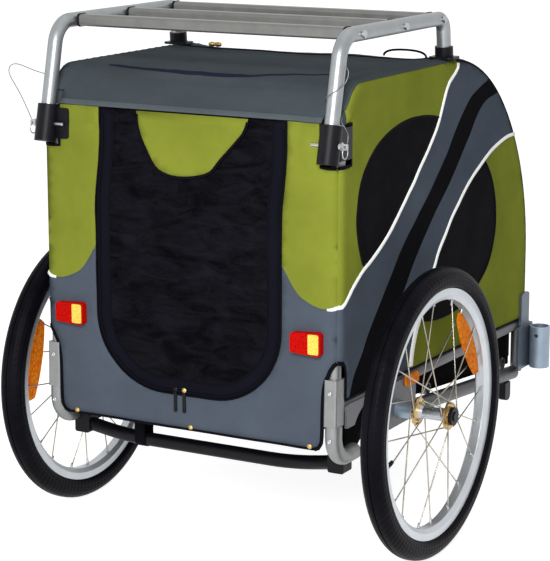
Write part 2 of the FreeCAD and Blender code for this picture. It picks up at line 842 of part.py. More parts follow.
def floor():
    """Three cross tubes, the board that lies on them and on the axle beam, and the low walls round it.

    The side walls hang below the board, with a slot for each tube.
    """
    radius = size.cross_tube_diameter / 2
    rail_face = lower_rail_x - size.lower_rail_diameter / 2 - size.seat_gap
    post_face = frame_x - max(size.sleeve_width, size.elbow_diameter) / 2 - size.seat_gap
    tubes = []
    for name, forward, end in (("rear", -size.rear_cross_tube_reach, post_face),
                               ("middle", size.middle_cross_tube_forward, rail_face),
                               ("front", size.front_cross_tube_forward, rail_face)):
        height = floor_bottom_at(forward) - (size.seat_gap + radius) / math.cos(lower_slope)
        tubes.append(tube(f"{name}_cross_tube", "cross_tube_diameter", "cross_tube_wall",
                          at(-end, forward, height), at(end, forward, height)))
    node(group("floor_cross_tubes", *tubes), "floor_cross_tubes")
    rear = -size.body_rear_reach + size.fabric_thickness + size.seat_gap
    front = size.floor_front
    thickness = size.floor_thickness
    loop = rounded(flat((rear, floor_bottom_at(rear)), (front, floor_bottom_at(front)),
                        (front, floor_bottom_at(front) + thickness),
                        (rear, floor_bottom_at(rear) + thickness)))
    wall = size.tub_wall_thickness
    board_width = "Sizes.frame_spacing - 2 * (Sizes.receiver_inner_inset + Sizes.tub_wall_thickness)"
    board = pad("floor_plate", "YZ_Plane", board_width + " - 4 * Sizes.seat_gap", at(0, 0, 0), loop)
    crossings = ((-size.rear_cross_tube_reach, size.cross_tube_diameter), (0, size.axle_beam_diameter),
                 (size.middle_cross_tube_forward, size.cross_tube_diameter),
                 (size.front_cross_tube_forward, size.cross_tube_diameter))
    rim = size.upper_rail_diameter / 2
    side_face = receiver_inner_x - size.seat_gap
    skirt = size.tub_skirt_drop
    hem = [(rear, floor_bottom_at(rear) - skirt)]
    for forward, width in crossings:
        reach = width / 2 + size.seat_gap
        for edge, drop in ((-reach, skirt), (-reach, 0), (reach, 0), (reach, skirt)):
            hem.append((forward + edge, floor_bottom_at(forward + edge) - drop))
    hem.append((front, floor_bottom_at(front) - skirt))
    side = rounded(flat(*hem, (front, upper_rail_at(front) + rim), (rear, upper_rail_at(rear) + rim)))
    front_wall = pad("tub_front_wall", "XZ_Plane", "Sizes.tub_wall_thickness",
                     at(0, front + size.seat_gap + wall / 2, 0),
                     rounded(flat((-side_face, floor_bottom_at(front)), (side_face, floor_bottom_at(front)),
                                  (side_face, front_hem + rim), (-side_face, front_hem + rim))))
    walls = [front_wall]
    for name, sign in (("right", 1), ("left", -1)):
        middle = at(sign * (side_face - wall / 2), 0, 0)
        walls.append(pad(f"tub_wall_{name}", "YZ_Plane", "Sizes.tub_wall_thickness", middle, side))
    node(group("floor_board", board, *walls), "floor_board")


def rear_cross_bar():
    """The black bar under the rear of the frame, drawn up at its ends, and its clamps on the elbows."""
    forward = -size.cross_bar_reach
    end_x = frame_x - size.cross_bar_end_inset
    knee_x = frame_x - size.cross_bar_knee_inset
    radius = size.cross_bar_bend_radius
    end_height = size.cross_bar_height + size.cross_bar_rise

    def path(overrun):
        ends = [at(side * end_x, forward, end_height) for side in (-1, 1)]
        knees = [at(side * knee_x, forward, size.cross_bar_height) for side in (-1, 1)]
        over = [end + (end - knee).normalize() * overrun for end, knee in zip(ends, knees)]
        return [(over[0], 0), (knees[0], radius), (knees[1], radius), (over[1], 0)]

    bore_radius = "Sizes.cross_bar_diameter / 2 - Sizes.cross_bar_wall"
    node(bent_tube("rear_cross_bar", "cross_bar_diameter", bore_radius, path(0)), "rear_cross_bar")
    bottom = end_height - size.cross_bar_diameter / 2 - size.bar_clamp_foot
    half_width = size.bar_clamp_width / 2
    body = pad("bar_clamp_body", "XZ_Plane", "Sizes.bar_clamp_depth",
               at(frame_x - size.bar_clamp_inset, forward, 0),
               rectangle(-half_width, bottom, half_width, size.elbow_height, size.bar_clamp_foot))
    saddle = rod("bar_clamp_saddle", "Sizes.elbow_diameter / 2 + Sizes.seat_gap",
                 at(frame_x, forward - size.bar_clamp_depth, size.elbow_height),
                 at(frame_x, forward + size.bar_clamp_depth, size.elbow_height))
    bore = swept("bar_clamp_bore", "Sizes.cross_bar_diameter / 2 + Sizes.fit_clearance", path(size.seat_gap))
    pair("cross_bar_clamps", cut("bar_clamp", body, fuse("bar_clamp_cuts", saddle, bore)))


def front_brackets():
    """Outer plates at the front corners, the upright receivers on them and the feet under the rails."""
    bottom, shoulder = size.bracket_bottom, size.bracket_shoulder
    radius = size.bracket_corner_radius
    loop = rounded(flat((size.bracket_rear, bottom, radius), (size.bracket_front, bottom, radius),
                        (size.bracket_front, shoulder, radius), (size.bracket_arm_front, shoulder, radius),
                        (size.bracket_arm_front, size.bracket_top, radius),
                        (size.bracket_arm_rear, size.bracket_top, radius),
                        (size.bracket_arm_rear, shoulder, radius), (size.bracket_rear, shoulder, radius)))
    near = side_outer_x + size.seat_gap
    pair("front_brackets", pad("front_bracket", "YZ_Plane", "Sizes.bracket_thickness",
                               at(near + size.bracket_thickness / 2, 0, 0), loop))
    across = near + size.bracket_thickness + size.seat_gap + size.receiver_diameter / 2
    low = at(across, size.receiver_forward, size.receiver_bottom)
    high = low + Z_AXIS * size.receiver_height
    body = tube("receiver_tube", "receiver_diameter", "receiver_wall", low, high)
    middle = high - Z_AXIS * size.receiver_pin_drop
    reach = Y_AXIS * size.receiver_diameter
    hole = rod("receiver_pin_hole", "Sizes.receiver_pin_diameter / 2", middle - reach, middle + reach)
    both_sides("receiver", cut("receiver", body, hole))
    half_width = size.front_foot_width / 2
    half_depth = size.front_foot_depth / 2
    forward = size.front_foot_forward
    rail_drop = size.lower_rail_diameter / 2 / math.cos(lower_slope)
    top = lower_rail_at(forward + half_depth) - rail_drop - size.seat_gap
    low_end = top - size.front_foot_height
    loop = rounded(flat((forward - half_depth, top), (forward - half_depth, low_end, size.front_foot_radius),
                        (forward + half_depth, low_end, size.front_foot_radius), (forward + half_depth, top)))
    pair("front_feet", pad("front_foot", "YZ_Plane", "Sizes.front_foot_width", at(lower_rail_x, 0, 0), loop))


# Rack

rack_leg_foot = at(frame_x, -size.rack_leg_foot_reach, socket_bottom)
pin_point = rack_leg_foot + rack_leg_axis * ((lock_pin_height - socket_bottom) / rack_leg_axis.z)
socket_face_x = frame_x + socket_radius
rack_front_top = at(frame_x, size.rack_front_corner_forward, rack_height)
rack_front_base = at(frame_x, size.rack_front_foot_forward, size.roof_height + size.seat_gap)
rack_front_axis = (rack_front_top - rack_front_base).normalize()


def pin_hole(name):
    reach = X_AXIS * size.socket_diameter
    radius = "Sizes.lock_pin_diameter / 2 + Sizes.running_clearance"
    return rod(name, radius, pin_point - reach, pin_point + reach)


def rack():
    """Two bent side tubes, three flat-sided cross bars between them and a bolt at each bar's end."""
    start = rack_leg_foot + rack_leg_axis * (size.socket_floor + size.seat_gap)
    rear_corner = at(frame_x, -size.rack_rear_corner_reach, rack_height)
    tilt = size.rack_tube_diameter / 2 * math.sin(rack_front_axis.getAngle(Z_AXIS))
    foot_lift = size.rack_foot_base_thickness + size.seat_gap + tilt
    end = rack_front_base + rack_front_axis * foot_lift
    corners = [(start, 0), (rear_corner, size.rack_rear_radius), (rack_front_top, size.rack_front_radius),
               (end, 0)]
    side = bent_tube("rack_side_pipe", "rack_tube_diameter",
                     "Sizes.rack_tube_diameter / 2 - Sizes.rack_tube_wall", corners)
    both_sides("rack_side_tube", cut("rack_side_tube", side, pin_hole("rack_pin_hole")))
    half_depth = size.rack_bar_depth / 2
    half_height = size.rack_bar_height / 2
    wall = size.rack_bar_wall
    radius = size.rack_bar_corner_radius
    loops = (rectangle(-half_depth, -half_height, half_depth, half_height, radius),
             rectangle(wall - half_depth, wall - half_height, half_depth - wall, half_height - wall,
                       radius - wall))
    length = "Sizes.frame_spacing - Sizes.rack_tube_diameter - 2 * Sizes.seat_gap"
    outer_x = frame_x + size.rack_tube_diameter / 2 + size.seat_gap
    bars = []
    bolts = []
    for name, forward in (("rear", -size.rear_bar_reach), ("middle", size.middle_bar_forward),
                          ("front", size.front_bar_forward)):
        bars.append(pad(f"{name}_rack_bar", "YZ_Plane", length, at(0, forward, rack_height), *loops))
        for side_name, side in (("right", 1), ("left", -1)):
            seat = at(side * outer_x, forward, rack_height)
            bolts.append(rod(f"{name}_rack_bolt_{side_name}", "Sizes.rack_bolt_diameter / 2", seat,
                             seat + X_AXIS * (side * size.rack_bolt_height)))
    node(group("rack_bars", *bars), "rack_bars")
    node(group("rack_bolts", *bolts), "rack_bolts")


def rack_sockets():
    """Moulded sockets: a leaning cup for the rack's leg and a block clamped to the rear upright."""
    top = rack_leg_foot + rack_leg_axis * size.socket_length
    cup = rod("socket_cup", "Sizes.socket_diameter / 2", rack_leg_foot, top)
    half_width = size.socket_block_width / 2
    radius = size.socket_corner_radius
    middle_height = socket_block_bottom + size.socket_block_height / 2
    block = pad("socket_block", "XY_Plane", "Sizes.socket_block_height", at(frame_x, 0, middle_height),
                rectangle(-half_width, -size.socket_block_rear, half_width, -size.socket_block_front, radius))
    lug_rear = size.body_rear_reach + size.seat_gap + size.socket_lug_thickness
    lug_inner = frame_x - half_width - size.socket_lug_width
    lug = pad("socket_lug", "XZ_Plane", "Sizes.socket_lug_thickness",
              at(0, -lug_rear + size.socket_lug_thickness / 2, 0),
              rectangle(lug_inner, socket_block_bottom, frame_x, socket_block_top, radius))
    over = size.cut_overrun
    leg = rod("socket_leg_bore", "Sizes.rack_tube_diameter / 2 + Sizes.fit_clearance",
              rack_leg_foot + rack_leg_axis * size.socket_floor, top + rack_leg_axis * over)
    roof_tube = hoop_rear_corner + Y_AXIS * (2 * size.hoop_rear_radius)
    path = [(upright_at(socket_bottom - over), 0), (hoop_rear_corner, size.hoop_rear_radius), (roof_tube, 0)]
    upright = swept("socket_upright_bore", "Sizes.hoop_diameter / 2 + Sizes.fit_clearance", path)
    body = fuse("socket_body", cup, block, lug)
    cuts = fuse("socket_cuts", leg, upright, pin_hole("socket_pin_hole"))
    both_sides("rack_socket", cut("rack_socket", body, cuts))


def rack_front_feet():
    """Flanged cups on the roof that take the rack's front legs."""
    half_width = size.rack_foot_base_width / 2
    half_depth = size.rack_foot_base_depth / 2
    thickness = size.rack_foot_base_thickness
    base = pad("rack_foot_base", "XY_Plane", "Sizes.rack_foot_base_thickness",
               rack_front_base + Z_AXIS * (thickness / 2),
               rectangle(-half_width, -half_depth, half_width, half_depth, size.rack_foot_corner_radius))
    start = rack_front_base + Z_AXIS * (thickness / 2)
    cup = rod("rack_foot_cup", "Sizes.rack_foot_diameter / 2", start,
              start + rack_front_axis * (thickness / 2 + size.rack_foot_height))
    trim = pad("rack_foot_trim", "XY_Plane", "Sizes.rack_foot_height + Sizes.rack_foot_base_thickness",
               rack_front_base + Z_AXIS * ((size.rack_foot_height + thickness) / 2),
               rectangle(-half_width, -half_depth, half_width, half_depth, size.rack_foot_corner_radius))
    bore_start = rack_front_base + rack_front_axis * thickness
    bore = rod("rack_foot_bore", "Sizes.rack_tube_diameter / 2 + Sizes.fit_clearance", bore_start,
               bore_start + rack_front_axis * (size.rack_foot_height + size.cut_overrun))
    body = common("rack_foot_body", fuse("rack_foot_solid", base, cup), trim)
    pair("rack_front_feet", cut("rack_front_foot", body, bore))


def lock_pins():
    """A plain pin across each socket with a head, an eyed tab and a pull ring in the eye."""
    head_x = socket_face_x + size.seat_gap
    tab_x = head_x + size.lock_pin_head_thickness
    tip_x = frame_x - socket_radius - size.lock_pin_tip_margin
    centre = Vector(0, pin_point.y, pin_point.z)
    shank = size.lock_pin_diameter / 2
    head = size.lock_pin_head_diameter / 2
    pin = turned("lock_pin_shank", centre, rounded(flat(
        (tip_x, 0), (tip_x, shank / 2), (tip_x + shank / 2, shank), (head_x, shank), (head_x, head),
        (tab_x, head), (tab_x, 0))))
    half_tab = size.lock_pin_tab_height / 2
    eye_x = tab_x + size.lock_pin_tab_length / 2
    tab = pad("lock_pin_tab", "XZ_Plane", "Sizes.lock_pin_tab_thickness", centre,
              rectangle(tab_x - size.seat_gap, -half_tab, tab_x + size.lock_pin_tab_length, half_tab,
                        shank / 2),
              circle(eye_x, 0, size.lock_pin_tab_hole / 2))
    wire = size.lock_pin_ring_wire / 2
    ring_radius = size.lock_pin_ring_diameter / 2 - wire
    play = size.lock_pin_tab_hole / 2 - wire - size.seat_gap
    ring = doc.addObject("Part::Torus", "lock_pin_ring")
    bind(ring, Radius1="(Sizes.lock_pin_ring_diameter - Sizes.lock_pin_ring_wire) / 2",
         Radius2="Sizes.lock_pin_ring_wire / 2")
    ring.Placement = Placement(centre + Vector(eye_x, 0, -play - ring_radius), Rotation(Z_AXIS, X_AXIS))
    both_sides("lock_pin", group("lock_pin", fuse("lock_pin_body", pin, tab), ring))


# Steel wire lanyards from the rack's legs to the lock pins, as points (out from the leg, forward, over the
# pin).
LEFT_LANYARD = ((13.7, -208, 81), (27, -209, 83.5), (43, -210, 88), (58, -211, 93), (71, -212.5, 96),
                (81, -214, 93), (85, -215, 84), (81, -216, 74), (72, -217.5, 63), (61, -219.5, 50),
                (50, -222, 35), (39, -225, 19), (31, -226.65, 5.8))
RIGHT_LANYARD_START = ((13.7, -198.5, 122), (18.5, -199.5, 116.5), (19.5, -201.5, 108))
RIGHT_LANYARD_END = ((25, -219, 26), (31, -224, 20), (32.5, -226.65, 13), (31, -226.65, 5.8))
LANYARD_TURN_POINTS = 12
LANYARD_TURN_TOP = 96
LANYARD_TURN_BOTTOM = 38
LANYARD_TURN_RADIUS = 15.2


def right_lanyard_points():
    """A lead, one loose turn round the rack's leg by a formula, and a lead down to the pin."""
    turn = []
    for i in range(LANYARD_TURN_POINTS + 1):
        share = i / LANYARD_TURN_POINTS
        height = LANYARD_TURN_TOP + (LANYARD_TURN_BOTTOM - LANYARD_TURN_TOP) * share
        middle = rack_leg_foot + rack_leg_axis * ((size.lock_pin_rise + height) / rack_leg_axis.z)
        angle = -2 * math.pi * share
        turn.append((LANYARD_TURN_RADIUS * math.cos(angle),
                     middle.y - axle_y + LANYARD_TURN_RADIUS * math.sin(angle), height))
    return (*RIGHT_LANYARD_START, *turn, *RIGHT_LANYARD_END)


def lanyard(name, side, route):
    """A cord through hand-chosen points, with each arc as large as its two runs allow."""
    points = [at(side * (frame_x + out), forward, lock_pin_height + rise) for out, forward, rise in route]
    corners = [(points[0], 0)]
    radii = []
    for back, point, ahead in zip(points, points[1:], points[2:]):
        shorter = min((point - back).Length, (ahead - point).Length)
        turn = (point - back).getAngle(ahead - point)
        radii.append(LANYARD_ARC_SHARE * shorter / math.tan(turn / 2))
        corners.append((point, radii[-1]))
    corners.append((points[-1], 0))
    print(name, "arc radii", [round(radius, 1) for radius in radii])
    cord = node(swept(name, "Sizes.lanyard_diameter / 2", corners), name)
    path = doc.getObject(name + "_path").Shape
    doc.recompute()
    section = math.pi * size.lanyard_diameter ** 2 / 4
    volume_share = cord.Shape.Volume / (section * path.Length)
    print(name, "length", round(path.Length, 1), "volume share", round(volume_share, 4))


# Cabin

def cabin_strips():
    """Roof and front panels: sheets along the side profile, between the two side panels."""
    thickness = size.fabric_thickness
    width = "Sizes.frame_spacing + Sizes.hoop_diameter"
    roof_end = (size.roof_front, size.roof_height)
    front_start = (size.roof_front + size.seat_gap, size.roof_height)
    roof = pad("roof_sheet", "YZ_Plane", width, at(0, 0, 0),
               strip(flat(ROOF_EDGE, ROOF_BREAK, roof_end), thickness))
    corner_depth = size.roof_edge_reach - size.roof_corner_reach
    corner_width = strip_half_width - roof_corner_x
    corners = []
    for side in (1, -1):
        low = roof_corner_x
        far = strip_half_width + size.cut_overrun
        edges = sorted((side * low, side * far))
        corners.append(pad(f"roof_corner_{'right' if side > 0 else 'left'}", "XY_Plane", "Sizes.roof_height",
                           at(0, 0, size.roof_height),
                           rectangle(edges[0], -size.roof_edge_reach - size.cut_overrun, edges[1],
                                     -size.roof_corner_reach, min(corner_depth, corner_width) / 4)))
    node(cut("roof_panel", roof, fuse("roof_corners", *corners)), "roof_panel")
    nose = flat(front_start, NOSE_UPPER, NOSE_LOWER, FRONT_HEM)
    sheet_body = pad("front_sheet", "YZ_Plane", width, at(0, 0, 0), strip(nose, thickness))
    half = frame_x - size.front_window_inset
    gap = size.seat_gap
    radius = size.front_window_corner_radius
    middle = at(0, size.body_front, 0)
    opening = pad("front_window_cut", "XZ_Plane", "2 * Sizes.body_front", middle,
                  rectangle(-half, size.front_window_bottom, half, size.front_window_top, radius))
    node(cut("front_panel", sheet_body, opening), "front_panel")
    sink = (thickness - size.mesh_thickness) / 2
    mesh_sheet = pad("front_mesh_sheet", "YZ_Plane", width, at(0, 0, 0),
                     strip(inset(nose, sink), size.mesh_thickness))
    pane = pad("front_window_pane", "XZ_Plane", "2 * Sizes.body_front", middle,
               rectangle(gap - half, size.front_window_bottom + gap, half - gap, size.front_window_top - gap,
                         radius - gap))
    node(common("front_mesh", mesh_sheet, pane), "front_mesh")


def window_tool(name, depth, across, grow):
    """The tilted oval of a side window less the diagonal band, grown or shrunk all round."""
    tilt = math.radians(-size.window_tilt)
    long_axis = size.window_half_length + grow
    short_axis = size.window_half_height + grow

    def in_window(along_share, up_share, shift):
        along = size.window_half_length * along_share + shift
        up = size.window_half_height * up_share
        return Vector(size.window_forward + along, size.window_height + up, 0)

    oval = Part.Ellipse(Vector(size.window_forward + long_axis * math.cos(tilt),
                               size.window_height + long_axis * math.sin(tilt), 0),
                        Vector(size.window_forward - short_axis * math.sin(tilt),
                               size.window_height + short_axis * math.cos(tilt), 0),
                        Vector(size.window_forward, size.window_height, 0))
    pane = pad(name + "_oval", "YZ_Plane", depth, across, [oval])
    rear = [in_window(*share, grow) for share in BAND_REAR_SHARES]
    front = [in_window(*share, -grow) for share in BAND_FRONT_SHARES]
    loop = [Part.Arc(*rear), Part.Arc(*front), Part.LineSegment(rear[0], front[0]),
            Part.LineSegment(rear[2], front[2])]
    band = pad(name + "_band", "YZ_Plane", "Sizes.frame_spacing / 2", across, loop)
    return cut(name, pane, band)


def side_panels():
    """Flat side panels with two mesh windows either side of the diagonal band."""
    rear = -size.body_rear_reach
    slope_run = size.roof_edge_reach - size.roof_break_reach
    lip_share = (size.roof_edge_reach - size.side_notch_lip_reach) / slope_run
    lip_height = roof_edge_height + (size.roof_height - roof_edge_height) * lip_share
    lip = -size.side_notch_lip_reach
    notch = -size.side_notch_front
    hem_rear = rails_rear
    loop = rounded(flat((rear, size.rear_corner_top), (rear, side_notch_bottom), (notch, side_notch_bottom),
                        (notch, side_notch_top), (lip, side_notch_top), (lip, lip_height), ROOF_BREAK,
                        NOSE_UPPER, NOSE_LOWER, FRONT_HEM,
                        (hem_rear, upper_rail_at(hem_rear) + size.side_hem_rise),
                        (hem_rear, size.rear_corner_top)))
    centre = at(side_inner_x + size.fabric_thickness / 2, 0, 0)
    panel = pad("side_cloth", "YZ_Plane", "Sizes.fabric_thickness", centre, loop)
    opening = window_tool("window_opening", "4 * Sizes.fabric_thickness", centre, 0)
    both_sides("side_panel", cut("side_panel", panel, opening))
    pair("side_meshes", window_tool("side_mesh", "Sizes.mesh_thickness", centre, -size.seat_gap))


def rear_wall():
    """The rear panel round the doorway, the door's border and mesh, its flap and the zip pulls."""
    plane = at(0, -size.body_rear_reach + size.fabric_thickness / 2, 0)
    top = roof_edge_height
    gap = size.door_clearance
    way = door_half_width + gap
    low = size.door_bottom - gap
    sweep = size.door_corner_radius + gap
    foot = frame_x - size.rear_corner_inset
    edge = size.rear_corner_radius
    right = [(foot, size.rear_hem_height), (foot, size.rear_corner_top, edge),
             (strip_half_width, size.rear_corner_top), (strip_half_width, side_notch_bottom),
             (rear_shoulder_x, side_notch_bottom),
             (rear_shoulder_x, top), (way, top), (way, low, sweep)]
    left = [(-corner[0], *corner[1:]) for corner in reversed(right)]
    panel = pad("rear_panel", "XZ_Plane", "Sizes.fabric_thickness", plane, rounded(flat(*right, *left)))
    node(panel, "rear_panel")
    half = door_half_width
    door_top = top - size.door_top_gap
    border = size.door_border_width
    outline = [(-half, door_top), (-half, size.door_bottom, size.door_corner_radius),
               (half, size.door_bottom, size.door_corner_radius), (half, door_top)]
    inner = half - border
    inner_low = size.door_bottom + border
    inner_radius = size.door_corner_radius - border
    hole = [(inner, door_top), (inner, inner_low, inner_radius), (-inner, inner_low, inner_radius),
            (-inner, door_top)]
    frame = pad("door_border", "XZ_Plane", "Sizes.fabric_thickness", plane, rounded(flat(*outline, *hole)))
    node(frame, "door_border")
    seat = size.seat_gap
    pane = [(seat - inner, door_top), (seat - inner, inner_low + seat, inner_radius - seat),
            (inner - seat, inner_low + seat, inner_radius - seat), (inner - seat, door_top)]
    node(pad("door_mesh", "XZ_Plane", "Sizes.mesh_thickness", plane, rounded(flat(*pane))), "door_mesh")
    flap, foot_half = size.flap_half_width, size.flap_foot_half_width
    side_low, flap_low = door_top - size.flap_side_height, door_top - size.flap_drop
    loop = rounded(flat((-flap, door_top), (-flap, side_low, size.flap_side_radius),
                        (-foot_half, flap_low, size.flap_foot_radius),
                        (foot_half, flap_low, size.flap_foot_radius),
                        (flap, side_low, size.flap_side_radius), (flap, door_top)))
    outer_face = -size.body_rear_reach - size.seat_gap
    node(pad("door_flap", "XZ_Plane", "Sizes.fabric_thickness",
             at(0, outer_face - size.fabric_thickness / 2, 0), loop), "door_flap")
    for name, side in (("left", -1), ("right", 1)):
        across = side * size.zip_pull_spacing / 2 - size.zip_pull_offset
        half_pull = size.zip_pull_width / 2
        loop = rectangle(-half_pull, size.zip_pull_top - size.zip_pull_length, half_pull, size.zip_pull_top,
                         half_pull * 2 / 3)
        node(pad(f"zip_pull_{name}", "XZ_Plane", "Sizes.zip_pull_thickness",
                 at(across, outer_face - size.zip_pull_thickness / 2, 0), loop), f"zip_pull_{name}")


def tail_reflectors():
    """A red reflector at each rear corner, lower at its left end, with an amber lens set in its right end."""
    half_width = size.tail_reflector_width / 2
    low = size.tail_reflector_centre_height - size.tail_reflector_height / 2
    high = size.tail_reflector_centre_height + size.tail_reflector_height / 2
    radius = size.tail_reflector_radius
    taper = size.tail_reflector_taper
    margin = size.tail_lens_margin
    gap = size.seat_gap
    base_depth, lens_depth = size.tail_reflector_base, size.tail_reflector_lens
    back = -size.body_rear_reach - gap
    split = size.tail_reflector_red_width - half_width
    outline = rounded(flat((-half_width, low + taper, radius), (half_width, low, radius),
                           (half_width, high, radius), (-half_width, high - taper, radius)))
    pocket = rectangle(split, low + margin, half_width - margin, high - margin, margin)
    edge = margin + gap
    lens = rectangle(split + gap, low + edge, half_width - edge, high - edge, margin - gap)
    reds = []
    ambers = []
    for name, side in (("left", -1), ("right", 1)):
        across = side * (frame_x - size.tail_reflector_inset)
        base = pad(f"reflector_base_{name}", "XZ_Plane", "Sizes.tail_reflector_base",
                   at(across, back - base_depth / 2, 0), outline)
        middle = at(across, back - base_depth - lens_depth / 2, 0)
        red = pad(f"reflector_red_{name}", "XZ_Plane", "Sizes.tail_reflector_lens", middle, outline, pocket)
        reds.append(fuse(f"reflector_{name}", base, red))
        ambers.append(pad(f"reflector_amber_{name}", "XZ_Plane", "Sizes.tail_reflector_lens",
                          middle - Y_AXIS * gap, lens))
    node(group("tail_reflectors", *reds), "tail_reflectors")
    node(group("tail_reflector_lenses", *ambers), "tail_reflector_lenses")


def side_reflectors():
    """A small amber reflector on each axle plate, at the height of the upper rail."""
    half_length = size.side_reflector_length / 2
    half_height = size.side_reflector_height / 2
    near = side_inner_x + size.axle_plate_thickness + size.seat_gap
    forward = size.side_reflector_forward
    middle = at(near + size.side_reflector_thickness / 2, forward, upper_rail_at(forward))
    pair("side_reflectors", pad("side_reflector", "YZ_Plane", "Sizes.side_reflector_thickness", middle,
                                rectangle(-half_length, -half_height, half_length, half_height,
                                          size.side_reflector_radius)))


def roof_loop():
    """A cord loop sewn on the roof's front ridge."""
    half = size.roof_loop_length / 2
    low = size.roof_height + size.seat_gap
    high = low + size.roof_loop_rise - size.roof_loop_wire / 2
    middle = frame_x - size.roof_loop_inset
    left, right = middle - half, middle + half
    forward = size.roof_loop_forward
    radius = size.roof_loop_radius
    corners = [(at(left, forward, low), 0), (at(left, forward, high), radius),
               (at(right, forward, high), radius), (at(right, forward, low), 0)]
    node(swept("roof_loop", "Sizes.roof_loop_wire / 2", corners), "roof_loop")


wheel("right", 1)
wheel("left", -1)
side_hoops()
corner_elbows()
upright_sleeves()
rails_rear = rails()
axle_carriers(rails_rear)
floor()
rear_cross_bar()
front_brackets()
rack()
rack_sockets()
rack_front_feet()
lock_pins()
lanyard("lanyard_left", -1, LEFT_LANYARD)
lanyard("lanyard_right", 1, right_lanyard_points())
cabin_strips()
side_panels()
rear_wall()
tail_reflectors()
side_reflectors()
roof_loop()
doc.recompute()

faults = []
for thing in doc.Objects:
    if "Invalid" in thing.State or "Error" in thing.State:
        faults.append(f"{thing.Name} is {thing.State}")
for thing in nodes:
    if thing.Shape.isNull() or not thing.Shape.isValid() or not thing.Shape.Solids:
        faults.append(f"{thing.Label} has no valid shape")
if faults:
    raise RuntimeError("; ".join(faults))

os.makedirs("parts", exist_ok=True)
for thing in nodes:
    thing.Shape.exportStep(f"parts/{thing.Label}.step")
solid_count = sum(len(thing.Shape.Solids) for thing in nodes)
print(len(nodes), "nodes,", solid_count, "solids, axle at Y", round(axle_y, 3))
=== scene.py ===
import math

import bpy
import numpy as np
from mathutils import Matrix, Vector, noise
from mathutils.geometry import delaunay_2d_cdt


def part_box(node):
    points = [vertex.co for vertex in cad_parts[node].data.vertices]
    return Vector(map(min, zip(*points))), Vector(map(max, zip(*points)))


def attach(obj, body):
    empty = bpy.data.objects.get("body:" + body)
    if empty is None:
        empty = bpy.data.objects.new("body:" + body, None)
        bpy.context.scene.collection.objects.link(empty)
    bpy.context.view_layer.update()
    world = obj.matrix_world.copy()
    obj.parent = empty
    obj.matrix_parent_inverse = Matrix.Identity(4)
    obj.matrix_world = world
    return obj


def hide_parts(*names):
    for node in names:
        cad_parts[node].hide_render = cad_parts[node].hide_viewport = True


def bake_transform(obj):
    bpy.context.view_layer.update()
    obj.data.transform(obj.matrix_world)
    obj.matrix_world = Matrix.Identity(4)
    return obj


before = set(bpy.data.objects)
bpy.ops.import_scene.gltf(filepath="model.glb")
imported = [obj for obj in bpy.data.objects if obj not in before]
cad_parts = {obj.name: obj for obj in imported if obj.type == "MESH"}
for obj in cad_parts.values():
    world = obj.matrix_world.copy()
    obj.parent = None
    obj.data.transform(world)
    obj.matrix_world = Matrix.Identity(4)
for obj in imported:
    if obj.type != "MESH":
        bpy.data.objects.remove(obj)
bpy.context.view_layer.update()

# Dog bike trailer. Pattern sizes are in millimetres: across to the right, forward from the axle, height up.
MM = 0.001
RIGHT, LEFT = 1, -1
SIDES = {"right": RIGHT, "left": LEFT}

axle_low, axle_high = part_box("axle_beam")
tyre_low, tyre_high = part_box("tyre_right")
AXLE_Y = (axle_low.y + axle_high.y) / 2 / MM
AXLE_HEIGHT = (axle_low.z + axle_high.z) / 2 / MM
WHEEL_X = (tyre_low.x + tyre_high.x) / 2 / MM
TYRE_RADIUS = tyre_high.z / MM - AXLE_HEIGHT
SIDE_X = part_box("side_panel_right")[1].x / MM
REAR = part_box("rear_panel")[0].y / MM - AXLE_Y
SIDE_HEM_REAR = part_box("upper_rails")[0].y / MM - AXLE_Y
FRAME_X = 270

CLOTH_STEP = 13
CLOTH_THICKNESS = 1.6
GRID_CLEARANCE = 0.55
EDGE_ROUND = 13.3
SEAM_INSET = EDGE_ROUND * (1 - math.sin(math.radians(45)))
RAIL_SLOPE = math.tan(math.radians(1.1))
RAIL_HEM = 306.5


def at(across, forward, height):
    """A point of the trailer in the frame's metres."""
    return Vector((across, AXLE_Y + forward, height)) * MM


def box_mm(node):
    """A node's lowest and highest corner in millimetres."""
    return [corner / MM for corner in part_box(node)]


def side_hem(forward):
    """Height of the side panels' lower edge."""
    return RAIL_HEM - forward * RAIL_SLOPE


# The cabin's side profile, from the rear roof edge over the nose to the front hem: (forward, height, radius).
ROOF_FRONT = 198
PROFILE = ((-216, 764), (-163, 827, 50), (345, 827, 345), (574, 598, 425), (574, side_hem(574)))
PROFILE_STEP = 6
PROFILE_NUDGE = 3
SIDE_EDGE_LOW, SIDE_EDGE_HIGH, FRONT_EDGE_LOW = 200, 740, 150

# The side pattern's lines, as (forward, height).
REAR_PIPING = ((220, 834), (226, 825), (230, 817), (220, 802), (195, 786), (181, 767), (170, 747), (159, 728),
               (143, 706), (118, 680), (85, 651), (53, 622), (15, 594), (-30, 562), (-74, 537), (-110, 520),
               (-130, 512), (-167, 491), (-184, 479), (-199, 471), (-230, 461))
FRONT_PIPING = ((600, 668), (504, 662), (457, 659), (412, 649), (367, 634), (330, 616), (294, 596),
                (258, 573), (223, 549), (191, 518), (165, 493), (152, 475), (94, 393), (78, 372), (67, 349),
                (59, 331), (57, 311), (57, 280))
STRIPE_REAR = ((430, 799), (357, 774), (304, 756), (280, 742), (257, 722), (222, 691), (194, 660), (149, 622),
               (110, 594), (60, 555), (20, 525), (-9, 499), (-46, 460), (-92, 417), (-127, 377), (-157, 346),
               (-172, 321), (-182, 290))
STRIPE_FRONT = ((480, 763), (406, 747), (359, 737), (328, 718), (301, 691), (266, 661), (225, 624),
                (185, 590), (145, 561), (106, 528), (76, 499), (41, 463), (-5, 417), (-40, 377), (-70, 346),
                (-85, 321), (-95, 290))
BAND_BELOW = ((-300, 467), (-300, 100), (52, 100))
